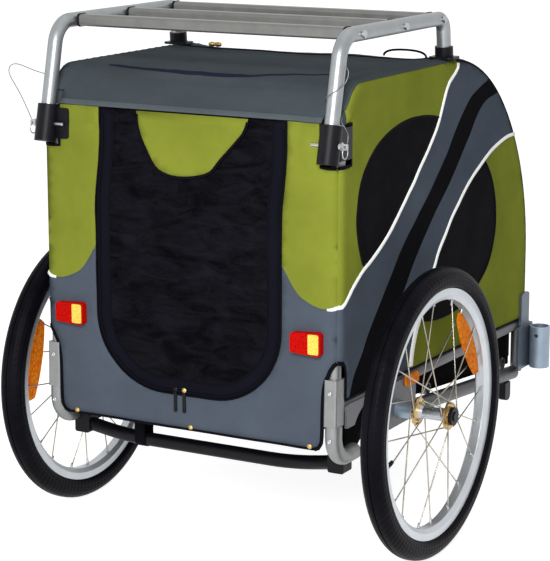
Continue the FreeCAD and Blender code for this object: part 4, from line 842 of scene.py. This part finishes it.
def along_profile(forward):
    """Length along the profile where it reaches a forward place on the roof or nose."""
    return float(np.interp(forward, profile[:, 0], profile_length))


def down_profile(height):
    """Length along the profile where the nose comes down to a height."""
    front = profile[:, 0] > ROOF_FRONT
    return float(np.interp(-height, -profile[front, 1], profile_length[front]))


def profile_point(length):
    """Forward places and heights at lengths along the profile."""
    return np.array([np.interp(length, profile_length, profile[:, k]) for k in (0, 1)])


def side_place(side):
    def place(points):
        points = np.asarray(points, float)
        edge = distance_to(points, side_edge)
        loose = ripple(points, SIDE_RIPPLES, side) + creases(points, SIDE_CREASES) - SIDE_HOLLOW
        across = SIDE_X - edge_sink(edge) + SIDE_WELT * bell(edge, WELT_INSET, WELT_WIDTH)
        across += fade(edge, EDGE_ROUND, SIDE_SETTLE) * loose
        return np.column_stack((side * across, AXLE_Y + points[:, 0], points[:, 1]))
    return place


def lean(points):
    """How far the doorway's upper part is drawn to the right."""
    rise = fade(points[:, 1], LEAN_START, LEAN_RISE)
    return DOORWAY_LEAN * rise ** 2 * (3 - 2 * rise) * fade(-np.abs(points[:, 0]), -LEAN_END, LEAN_FADE)


def rear_place(points):
    points = np.asarray(points, float)
    across, height = points.T
    out = np.abs(across)
    loose = ripple(points, REAR_RIPPLES) - creases(points, SOCKET_CREASES)
    loose -= creases(np.column_stack((out, height)), REAR_CREASES)
    back = edge_sink(SIDE_X - out) + fade(SIDE_X - out, EDGE_ROUND, REAR_SETTLE) * loose
    for middle, width, depth in REAR_EDGE_WAVES:
        back += depth * bell(out, middle, width)
    back -= LUG_BULGE * fade(across, *LUG_SIDE) * fade(height, *LUG_BOTTOM)
    return np.column_stack((across + lean(points), AXLE_Y + REAR + back, height))


def door_place(points):
    points = np.asarray(points, float)
    free = fade(-np.abs(points[:, 0]), -DOOR_HALF_WIDTH, DOOR_SETTLE)
    free *= fade(points[:, 1], DOOR_BOTTOM, DOOR_SETTLE)
    back = free * (DOOR_HOLLOW + ripple(points, DOOR_RIPPLES))
    return np.column_stack((points[:, 0] + lean(points), AXLE_Y + REAR + back, points[:, 1]))


def flap_place(points):
    points = np.asarray(points, float)
    place = door_place(points)
    below = fade(-points[:, 1], -DOOR_TOP, FLAP_TAPER)
    place[:, 1] = AXLE_Y + REAR - FLAP_LIFT - below * (FLAP_STAND + ripple(points, FLAP_RIPPLES))
    return place


def strip_place(points):
    """Across the trailer and along the profile."""
    points = np.asarray(points, float)
    across, length = points.T
    forward, height = profile_point(length)
    run = profile_point(length + PROFILE_NUDGE) - profile_point(length - PROFILE_NUDGE)
    run /= np.linalg.norm(run, axis=0)
    edge = SIDE_X - np.abs(across)
    settle = fade(edge, EDGE_ROUND, ROOF_SETTLE)
    ends = fade(np.minimum(length, profile_length[-1] - length), 0, ROOF_SETTLE)
    left, right, reach, *fold_form = ROOF_MIDDLE_FOLD
    middle_fold = ((-reach, along_profile(left)), (reach, along_profile(right)), *fold_form)
    loose = ROOF_HOLLOW + ripple(points, ROOF_RIPPLES) + creases(points, (middle_fold,))
    pucker = fade(edge, ROOF_PUCKER_START, ROOF_PUCKER_FADE) * bell(edge, ROOF_PUCKER, ROOF_PUCKER_WIDTH)
    fold = np.interp(across, ROOF_FOLD[:, 0], [along_profile(v) for v in ROOF_FOLD[:, 1]])
    ridge = along_profile(PROFILE[1][0])
    sag = np.minimum(fade(-length, -fold, fold - ridge), fade(length, 0, ridge))
    drop = edge_sink(edge) + ends * (settle * loose + pucker * ripple(points, ROOF_EDGE_RIPPLES))
    drop += ROOF_SAG * settle * sag - TUBE_WELT * bell(edge, WELT_INSET, WELT_WIDTH)
    lug = LUG_BULGE * fade(across, *LUG_SIDE) * fade(-length, -LUG_ON_ROOF, LUG_ON_ROOF)
    return np.column_stack((across, AXLE_Y + forward + run[1] * drop - lug, height - run[0] * drop))


# The cabin's cloth

GREEN_PART, GREY_PART, BLACK_PART, NET_PART = range(4)
PART_MATERIALS = [green, grey, black_cloth, window_net]


def unit_inward(i):
    """Direction into the cabin at a point of the profile."""
    run = unit(profile[min(i + 1, len(profile) - 1)] - profile[max(i - 1, 0)])
    return np.array((run[1], -run[0]))


def side_outline():
    """The side panel's edge: rear seam, socket notch, profile seam and hem, as (forward, height)."""
    rear = REAR + SEAM_INSET
    seam = [p + unit_inward(i) * SEAM_INSET for i, p in enumerate(profile)]
    seam = [p for p in seam if p[0] > NOTCH_LIP]
    corners = [(rear, CUT_OUT_TOP), (rear, NOTCH_BOTTOM), (NOTCH_FRONT, NOTCH_BOTTOM),
               (NOTCH_FRONT, NOTCH_TOP), (NOTCH_LIP, NOTCH_TOP)]
    hem = [(forward, side_hem(forward)) for forward in (PROFILE[-1][0] - SEAM_INSET, SIDE_HEM_REAR)]
    cut_out = [(SIDE_HEM_REAR + forward, height) for forward, height in CUT_OUT_FRONT]
    return divide([*corners, *seam, *hem, *cut_out], closed=True)


def side_edges(outline):
    """The bound stretches of the side panel's edge, as (name, width, path)."""
    forward, height = np.array(outline).T
    hem = height < side_hem(forward) + SLACK
    notch = (forward < NOTCH_END) & (height > NOTCH_BOTTOM - NOTCH_SLACK) & (height < NOTCH_TOP + NOTCH_SLACK)
    parts = (("nose", 5, (forward > NOSE_SEAM[0]) & (height > NOSE_SEAM[1])),
             ("front_edge", 2.6, (forward > FRONT_EDGE[0]) & (height < FRONT_EDGE[1]) & ~hem),
             ("hem", 3, hem), ("notch", 6, notch),
             ("cut_out", 7, (forward < SIDE_HEM_REAR + SLACK) & (height < CUT_OUT_TOP + SLACK)))
    return bound_edges(outline, parts)


def bound_edges(outline, parts):
    """The kept stretches of an outline; a part is (name, width, which points)."""
    return [(f"{label}_{k}", width, run) for label, width, keep in parts
            for k, run in enumerate(stretches(outline, keep)) if len(run) > 1]


def side_cloth():
    """Green ends, a grey diagonal band with a black stripe, and the net windows either side of it."""
    rear_line, front_line = smooth(REAR_PIPING), smooth(FRONT_PIPING)
    stripe_rear, stripe_front = smooth(STRIPE_REAR), smooth(STRIPE_FRONT)
    band = [*rear_line, *BAND_BELOW, *reversed(front_line), *BAND_ABOVE]
    stripe = [*stripe_rear, *reversed(stripe_front)]
    window = oval(WINDOW_CENTRE, WINDOW_HALF_AXES, WINDOW_TILT, WINDOW_POINTS)
    outline = side_outline()
    panes = stretches(window, ~inside(window, band))
    seams = [clip_line(path, outline) for path in (rear_line, front_line, stripe_rear, stripe_front)]
    seams[0].append(np.array((REAR + SEAM_INSET, PIPING_CORNER)))
    band_widths = np.interp([p[1] for p in seams[1]], BAND_TAPER, (BAND_WIDTH, PIPING_WIDTH))
    edges = side_edges(outline)

    def region_of(middles):
        part = np.where(inside(middles, band), GREY_PART, GREEN_PART)
        part[inside(middles, stripe)] = BLACK_PART
        part[inside(middles, window) & ~inside(middles, band)] = NET_PART
        return part

    for name, side in SIDES.items():
        place = side_place(side)
        cloth(f"side_cloth_{name}", outline, [*seams, *panes], place, region_of, PART_MATERIALS,
              "green_fabric", (f"side_panel_{name}", "side_meshes"),
              flip=side == LEFT)
        tape(f"piping_rear_{name}", seams[0], place, (PIPING_WIDTH, 4.5, 0.6), PIPING, side=side)
        tape(f"piping_front_{name}", seams[1], place, (band_widths, 4.2, 0.6), PIPING, side=side)
        for k, path in enumerate(panes):
            tape(f"window_seam_{k}_{name}", path, place, (4, 1.8, 0.2), BINDING, side=side)
        for label, width, run in edges:
            tape(f"side_{label}_{name}", run, place, (width, 2.4, 0), BINDING, side=side)


def rear_outline():
    seam = SIDE_X - SEAM_INSET
    way, low = DOOR_HALF_WIDTH + DOOR_GAP, DOOR_BOTTOM - DOOR_GAP
    right = [*[tuple(p) for p in smooth(REAR_CUT_OUT)], (seam, NOTCH_BOTTOM), (REAR_SHOULDER, NOTCH_BOTTOM),
             (REAR_SHOULDER, REAR_TOP), (way, REAR_TOP), (way, low, DOOR_RADIUS + DOOR_GAP)]
    left = [(-corner[0], *corner[1:]) for corner in reversed(right)]
    return rounded([*right, *left], closed=True)


def rear_cloth():
    """Green shoulders over a grey lower part, round the doorway."""
    edge = smooth(GREY_EDGE)
    outline = rear_outline()
    seams = {name: clip_line([(side * x, y) for x, y in edge], outline) for name, side in SIDES.items()}
    folds = [clip_line(divide(row[:2], SOCKET_FOLD_STEP), outline) for row in SOCKET_CREASES]

    def region_of(middles):
        return inside(np.abs(middles), [*edge, *GREY_BELOW])

    cloth("rear_cloth", outline, [*seams.values(), *folds], rear_place, region_of, [green, grey],
          "green_fabric", ("rear_panel",))
    for name, side in SIDES.items():
        tape(f"rear_seam_{name}", seams[name], rear_place, (2, 1.2, 0.1), (grey, "grey_fabric"))
        corner = smooth([(side * x, y) for x, y in CORNER_PIPING], 4)
        widths = np.linspace(4, PIPING_WIDTH, len(corner))
        tape(f"piping_corner_{name}", corner, rear_place, (widths, 4, 0.5), PIPING)
    across, height = np.array(outline).T
    out = np.abs(across)
    parts = (("hem", 4.5, height < REAR_HEM + SLACK),
             ("cut_out", 7, (out > REAR_CUT_OUT[0][0] - SLACK) & (height < CUT_OUT_TOP + SLACK)),
             ("shoulder", 6, (out > REAR_SHOULDER - SLACK) & (height > NOTCH_BOTTOM - SLACK)),
             ("doorway", 3, (out < DOOR_HALF_WIDTH + SLACK) & (height > REAR_HEM + SLACK)))
    for label, width, run in bound_edges(outline, parts):
        tape(f"rear_{label}", run, rear_place, (width, 2.6, 0), BINDING)


def door_curve(inset):
    """The door's free edge, drawn in by a distance."""
    half, low, radius = DOOR_HALF_WIDTH - inset, DOOR_BOTTOM + inset, DOOR_RADIUS - inset
    return rounded([(-half, DOOR_TOP), (-half, low, radius), (half, low, radius), (half, DOOR_TOP)])


def door_cloth():
    """The net door in its black border, with a zip along its free edge and a shaped flap over its top."""
    inner = door_curve(DOOR_BORDER)

    def region_of(middles):
        return ~inside(middles, inner)

    cloth("door_cloth", door_curve(0), [inner[1:-1]], door_place, region_of, [mesh_net, door_binding],
          "black_mesh", ("door_border", "door_mesh"), "rear_door")
    tape("door_inner_seam", inner, door_place, (4, 2, 0.2), BINDING, "rear_door")
    zip_line = [p for p in door_curve(ZIP_INSET) if p[1] < ZIP_END]
    tape("door_zip", zip_line, door_place, (4.5, 3, 0.4), BINDING, "rear_door")
    cloth("flap_cloth", smooth(FLAP), [], flap_place, one_part, [green], "green_fabric",
          ("door_flap",), "rear_door")
    tape("flap_binding", smooth(FLAP_BINDING), flap_place, (5, 2.4, 0), BINDING, "rear_door")


def roof_cloth(seam, front):
    """The roof sheet with its welts, rear hem and fold, and a dark navy tape along the fold that paints the
    fold's shadow.
    """
    corner = along_profile(ROOF_CORNER)
    right = [(ROOF_CORNER_X, 0), (ROOF_CORNER_X, corner), (seam, corner), (seam, front)]
    left = [(-x, s) for x, s in reversed(right)]
    outline = divide([left[-1], *right, *left[:-1]], closed=True)
    cloth("roof_cloth", outline, [], strip_place, one_part, [slate], "roof_fabric",
          ("roof_panel",))
    for name, side in SIDES.items():
        run = divide([(side * seam, corner + 2), (side * seam, front)])
        tape(f"roof_welt_{name}", run, strip_place, (5, 2.4, 0), ROOF_TAPE)
    hem = divide([(-ROOF_CORNER_X, ROOF_HEM_INSET), (ROOF_CORNER_X, ROOF_HEM_INSET)])
    tape("roof_hem", hem, strip_place, (13, 1.6, 0.2), (slate_hem, "roof_fabric"))
    # The navy tape along the fold is painted shade: the fold's shadow line drawn as dark cloth.
    fold = smooth([(x, along_profile(v) - FOLD_SHADOW_SHIFT) for x, v in ROOF_FOLD])
    tape("roof_fold_shadow_tape", fold, strip_place, (9, 1.2, 0.2), (fold_shadow_navy, "roof_fabric"))


def front_cloth(seam, front):
    """The front sheet with the band and stripe carried over the nose, and its net window."""
    end = profile_length[-1]
    stripe_start, stripe_end = (along_profile(line[1][0] + STRIPE_WRAP)
                                for line in (STRIPE_REAR, STRIPE_FRONT))
    green_start = down_profile(FRONT_PIPING[1][1] + GREEN_WRAP)
    low, high, half, radius = FRONT_WINDOW
    top, bottom = down_profile(high), down_profile(low)
    pane = rounded([(-half, top, radius), (half, top, radius), (half, bottom, radius),
                    (-half, bottom, radius)], closed=True)
    outline = divide([(-seam, front), (seam, front), (seam, end), (-seam, end)], closed=True)
    seams = [divide([(-seam + 2, s), (seam - 2, s)]) for s in (stripe_start, stripe_end, green_start)]

    def region_of(middles):
        part = np.where(middles[:, 1] > green_start, GREEN_PART, GREY_PART)
        part[(middles[:, 1] > stripe_start) & (middles[:, 1] < stripe_end)] = BLACK_PART
        part[inside(middles, pane)] = NET_PART
        return part

    cloth("front_cloth", outline, [*seams, [*pane, pane[0]]], strip_place, region_of, PART_MATERIALS,
          "green_fabric", ("front_panel", "front_mesh"))
    tape("front_piping", seams[2], strip_place, (PIPING_WIDTH, 4.5, 0.6), PIPING)
    tape("front_pane_seam", pane, strip_place, (6, 2.4, 0), BINDING, closed=True)
    hem = end - FRONT_HEM_INSET
    tape("front_hem", divide([(-seam, hem), (seam, hem)]), strip_place, (10, 3, 0), BINDING)
    tape("roof_front_seam", divide([(-seam, front), (seam, front)]), strip_place, (6, 3, 0.3), BINDING)


# Cords

def cord_line(name, points):
    """Points along the curve that a cord's chosen points steer."""
    curve = bpy.data.curves.new(name, "CURVE")
    curve.dimensions = "3D"
    curve.resolution_u = 8
    spline = curve.splines.new("NURBS")
    spline.points.add(len(points) - 1)
    for target, point in zip(spline.points, points):
        target.co = (*point, 1)
    spline.order_u = 3
    spline.use_endpoint_u = True
    obj = bpy.data.objects.new(name, curve)
    bpy.context.scene.collection.objects.link(obj)
    mesh = bpy.data.meshes.new_from_object(obj)
    line = [np.array(v.co) for v in mesh.vertices]
    bpy.data.objects.remove(obj)
    bpy.data.curves.remove(curve)
    bpy.data.meshes.remove(mesh)
    return line


def round_tube(line, radius, sides=10):
    """Vertices and faces of a closed round tube along a line, all in metres."""
    vertices = []
    normal = np.array(Vector(line[1] - line[0]).orthogonal().normalized())
    for i, point in enumerate(line):
        along = unit(line[min(i + 1, len(line) - 1)] - line[max(i - 1, 0)])
        normal = unit(normal - along * (normal @ along))
        across = np.cross(along, normal)
        vertices += [point + (normal * cosine + across * sine) * radius for cosine, sine in circle(sides)]
    return vertices, tube_faces(len(line), sides)


def cord_piece(name, line, diameter, material, slot, node):
    """A cord's mesh along a line, not yet tied to a body."""
    vertices, faces = round_tube(line, diameter / 2)
    obj = mesh_object(name, vertices, faces, [material], slot)
    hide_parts(node)
    path_length(line)
    return obj


def lanyards():
    """The lock pins' wires: a free loop on the left, a turn round the rack's leg on the right."""
    turn = []
    for i in range(LANYARD_TURN_POINTS + 1):
        share = i / LANYARD_TURN_POINTS
        rise = LANYARD_TURN_TOP + (LANYARD_TURN_BOTTOM - LANYARD_TURN_TOP) * share
        middle = LEG_FOOT[0] + (PIN_HEIGHT + rise - LEG_FOOT[1]) * LEG_LEAN
        angle = -2 * math.pi * share
        out, forward = LANYARD_TURN_RADIUS * math.cos(angle), LANYARD_TURN_RADIUS * math.sin(angle)
        turn.append((out, middle + forward, rise))
    routes = {"left": LEFT_LANYARD, "right": (*RIGHT_LANYARD_START, *turn, *RIGHT_LANYARD_END)}
    for name, side in SIDES.items():
        points = [at(side * (FRAME_X + out), forward, PIN_HEIGHT + rise)
                  for out, forward, rise in routes[name]]
        line = cord_line(f"lanyard_line_{name}", points)
        obj = cord_piece(f"lanyard_wire_{name}", line, LANYARD_DIAMETER * MM, wire_steel, "lanyard_steel",
                         f"lanyard_{name}")
        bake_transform(obj)


def roof_cord():
    """The cord loop sewn to the roof's front ridge."""
    low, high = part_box("roof_loop")
    wire = high.y - low.y
    left, right = low.x + wire / 2, high.x - wire / 2
    top, forward = high.z - wire / 2, (low.y + high.y) / 2
    points = [Vector((x, forward, z)) for x, z in ((left, low.z), (left, top), (right, top), (right, low.z))]
    line = cord_line("roof_loop_line", points)
    obj = cord_piece("roof_loop_cord", line, wire, binding, "black_binding", "roof_loop")
    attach(obj, "trailer_frame")


# Small hardware

def turned_pieces(name, form, places, material, slot, body="trailer_frame", sides=20):
    """The same turned form at several places; a place is (point, axis)."""
    vertices, faces = [], []
    for origin, axis in places:
        axis = np.array(Vector(axis).normalized())
        one = np.array(Vector(axis).orthogonal().normalized())
        two = np.cross(axis, one)
        faces += tube_faces(len(form), sides, len(vertices))
        for along, radius in form:
            for cosine, sine in circle(sides):
                outward = one * cosine + two * sine
                vertices.append(np.array(origin) + (axis * along + outward * radius) * MM)
    piece(name, vertices, faces, [material], body, slot)


def wheel_hardware():
    """Spoke nipples and a valve on each wheel."""
    rim_inner = TYRE_RADIUS - RIM_DEPTH
    for name, side in SIDES.items():
        centre = at(side * WHEEL_X, 0, AXLE_HEIGHT)
        nipples = []
        for i, (cosine, sine) in enumerate(circle(SPOKES)):
            outward = Vector((0, cosine, sine))
            stagger = Vector((-SPOKE_STAGGER if i % 2 else SPOKE_STAGGER, 0, 0))
            nipples.append((centre + outward * (rim_inner - NIPPLE_SINK) * MM + stagger * MM, outward))
        turned_pieces(f"nipples_{name}", NIPPLE, nipples, bright_steel, "spoke_steel", f"wheel_{name}", 8)
        angle = math.radians(VALVE_ANGLE[name])
        outward = Vector((0, math.cos(angle), math.sin(angle)))
        turned_pieces(f"valve_{name}", VALVE, [(centre + outward * rim_inner * MM, -outward)], black_plastic,
                      "black_plastic", f"wheel_{name}")


def frame_hardware():
    """Screws in the sleeves and elbows, hem snaps, the roof's toggle and the zip sliders."""
    back = Vector((0, -1, 0))
    screws = []
    for side in SIDES.values():
        for node, (sink, drop) in (("upright_sleeves", SLEEVE_SCREW), ("corner_elbows", ELBOW_SCREW)):
            low, high = box_mm(node)
            screws.append((at(side * FRAME_X, low.y - AXLE_Y + sink, high.z - drop), back))
    turned_pieces("frame_screws", SCREW_HEAD, screws, bright_steel, "pin_steel")
    snaps = [(Vector(rear_place([(across, REAR_HEM + SNAP_RISE)])[0]) * MM, back) for across in SNAPS]
    turned_pieces("hem_snaps", SNAP, snaps, brass, "pin_steel")
    turned_pieces("roof_toggle", TOGGLE, [(at(*TOGGLE_PLACE), Vector((1, 0, 0)))], brass, "pin_steel")
    # The two sliders are one part; their brass and black colours are the glint and the shade they show,
    # painted in.
    for name, material in (("left", black_plastic), ("right", brass)):
        low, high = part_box(f"zip_pull_{name}")
        place = Vector(((low.x + high.x) / 2, (AXLE_Y + REAR) * MM, high.z + SLIDER_RISE * MM))
        turned_pieces(f"zip_slider_{name}", SLIDER, [(place, back)], material, "pin_steel", "rear_door")


def rack_gaskets():
    """Rings where the rack's bars meet its side tubes."""
    low, high = box_mm("rack_bars")
    wide, tall, radius = GASKET_HALF_WIDTH, GASKET_HALF_HEIGHT, GASKET_RADIUS
    section = rounded([(-wide, -tall, radius), (wide, -tall, radius), (wide, tall, radius),
                       (-wide, tall, radius)], GASKET_STEP, closed=True)
    outward = [(0, *p) for p in section]
    for label, forward in RACK_BARS.items():
        for name, side in SIDES.items():
            ring = [(side * (high.x - GASKET_INSET), AXLE_Y + forward + y, (low.z + high.z) / 2 + z)
                    for y, z in section]
            sweep(f"rack_gasket_{label}_{name}", ring, outward, (4.5, 2.2, 0),
                  (black_plastic, "black_plastic"), closed=True, sides=8)


def bar_strap():
    """The webbing loop that hangs the rear bar from the floor."""
    low, high = box_mm("rear_cross_bar")
    forward, height = (low.y + high.y) / 2 - AXLE_Y, low.z + STRAP_RISE
    turn = [(forward - STRAP_REACH * math.cos(angle), height - STRAP_REACH * math.sin(angle))
            for angle in np.linspace(0, math.pi, STRAP_TURN_POINTS + 1)]
    ends = [(forward + way * (STRAP_REACH + 1), STRAP_TOP) for way in (-1, 1)]
    path = divide([ends[0], *turn, ends[1]], STRAP_STEP)
    vertices = [at(STRAP_X + half, *p) for p in path for half in (-STRAP_HALF_WIDTH, STRAP_HALF_WIDTH)]
    faces = [(2 * i, 2 * i + 1, 2 * i + 3, 2 * i + 2) for i in range(len(path) - 1)]
    obj = piece("bar_strap", vertices, faces, [binding], "trailer_frame", "black_binding")
    thicken(obj, STRAP_THICKNESS, 0)
    path_length(path) * MM


def tub_flaps():
    """Black cloth that hangs from the tub's side walls inside the axle plates."""
    outline = divide(TUB_FLAP, closed=True)
    for name, side in SIDES.items():
        def place(points, side=side):
            across = side * (TUB_WALL - ripple(points, TUB_RIPPLES))
            return np.column_stack((across, AXLE_Y + points[:, 0], points[:, 1]))
        cloth(f"tub_flap_{name}", outline, [], place, one_part, [black_cloth], "floor_board",
              flip=side == LEFT)


def hoop_sleeves():
    """Roof cloth wrapped round the hoops' rear bends, from the corner sockets up to the roof."""
    for name, side in SIDES.items():
        line = []
        for turn in np.radians(np.linspace(*SLEEVE_TURN, SLEEVE_POINTS)):
            forward = HOOP_BEND[0] - HOOP_BEND_RADIUS * math.cos(turn)
            height = HOOP_BEND[1] + HOOP_BEND_RADIUS * math.sin(turn)
            line.append(np.array(at(side * FRAME_X, forward, height)))
        vertices, faces = round_tube(line, SLEEVE_RADIUS * MM, SLEEVE_SIDES)
        piece(f"hoop_sleeve_{name}", vertices, faces, [slate], "trailer_frame", "roof_fabric")


# Camera, floor and light

def mix_for_backdrop(owner, plain, shown):
    """A shader for rays that show the backdrop, also off metal and through glass, and one for the rest."""
    paths = add_node(owner, "LightPath").outputs
    rays = paths["Is Camera Ray"]
    for kind in ("Is Glossy Ray", "Is Transmission Ray"):
        rays = reckon(owner, "MAXIMUM", rays, paths[kind])
    mix = add_node(owner, "MixShader")
    for target, source in zip(mix.inputs, (rays, plain, shown)):
        link(owner, source, target)
    return mix.outputs[0]


def add_camera():
    camera = bpy.data.cameras.new("camera")
    camera.lens = CAMERA_LENS
    camera.sensor_width = CAMERA_SENSOR
    camera.clip_end = CAMERA_REACH
    eye = bpy.data.objects.new("camera", camera)
    eye.location = at(*CAMERA_PLACE)
    eye.rotation_euler = [math.radians(a) for a in CAMERA_TURN]
    bpy.context.scene.collection.objects.link(eye)
    bpy.context.scene.camera = eye


def add_floor():
    """White paper that glows where it is seen, and keeps the trailer's shadow."""
    mesh = bpy.data.meshes.new("floor")
    corners = [(x * FLOOR_REACH, y * FLOOR_REACH, 0) for x, y in ((-1, -1), (1, -1), (1, 1), (-1, 1))]
    mesh.from_pydata(corners, [], [(0, 1, 2, 3)])
    floor = bpy.data.objects.new("floor", mesh)
    bpy.context.scene.collection.objects.link(floor)
    paper = shader("floor_paper", (0.9, 0.9, 0.9), 0.9)
    nodes = paper.node_tree.nodes
    plain = nodes["Principled BSDF"].outputs[0]
    both = add_node(paper, "AddShader")
    link(paper, plain, both.inputs[0])
    link(paper, add_node(paper, "Emission", Strength=FLOOR_GLOW).outputs[0], both.inputs[1])
    link(paper, mix_for_backdrop(paper, plain, both.outputs[0]), nodes["Material Output"].inputs["Surface"])
    mesh.materials.append(paper)


def add_light():
    """Soft studio lamps in a white surrounding."""
    scene = bpy.context.scene
    world = bpy.data.worlds.new("studio")
    world.use_nodes = True
    scene.world = world
    nodes = world.node_tree.nodes
    ambient = nodes["Background"]
    ambient.inputs["Color"].default_value = (0.93, 0.96, 1.0, 1)
    ambient.inputs["Strength"].default_value = AMBIENT
    white = add_node(world, "Background", Color=(1, 1, 1, 1))
    backdrop = mix_for_backdrop(world, ambient.outputs[0], white.outputs[0])
    link(world, backdrop, nodes["World Output"].inputs["Surface"])
    for name, place, target, size, power in LAMPS:
        light = bpy.data.lights.new(name, "AREA")
        light.size = size
        light.energy = power
        lamp = bpy.data.objects.new(name, light)
        lamp.location = place
        lamp.rotation_euler = (Vector(target) - Vector(place)).to_track_quat("-Z", "Y").to_euler()
        scene.collection.objects.link(lamp)


dress_nodes()
side_cloth()
rear_cloth()
door_cloth()
roof_cloth(SIDE_X - SEAM_INSET, along_profile(ROOF_FRONT))
front_cloth(SIDE_X - SEAM_INSET, along_profile(ROOF_FRONT))
lanyards()
roof_cord()
wheel_hardware()
frame_hardware()
rack_gaskets()
bar_strap()
tub_flaps()
hoop_sleeves()
bpy.context.scene.view_settings.view_transform = "Standard"
add_camera()
add_floor()
add_light()
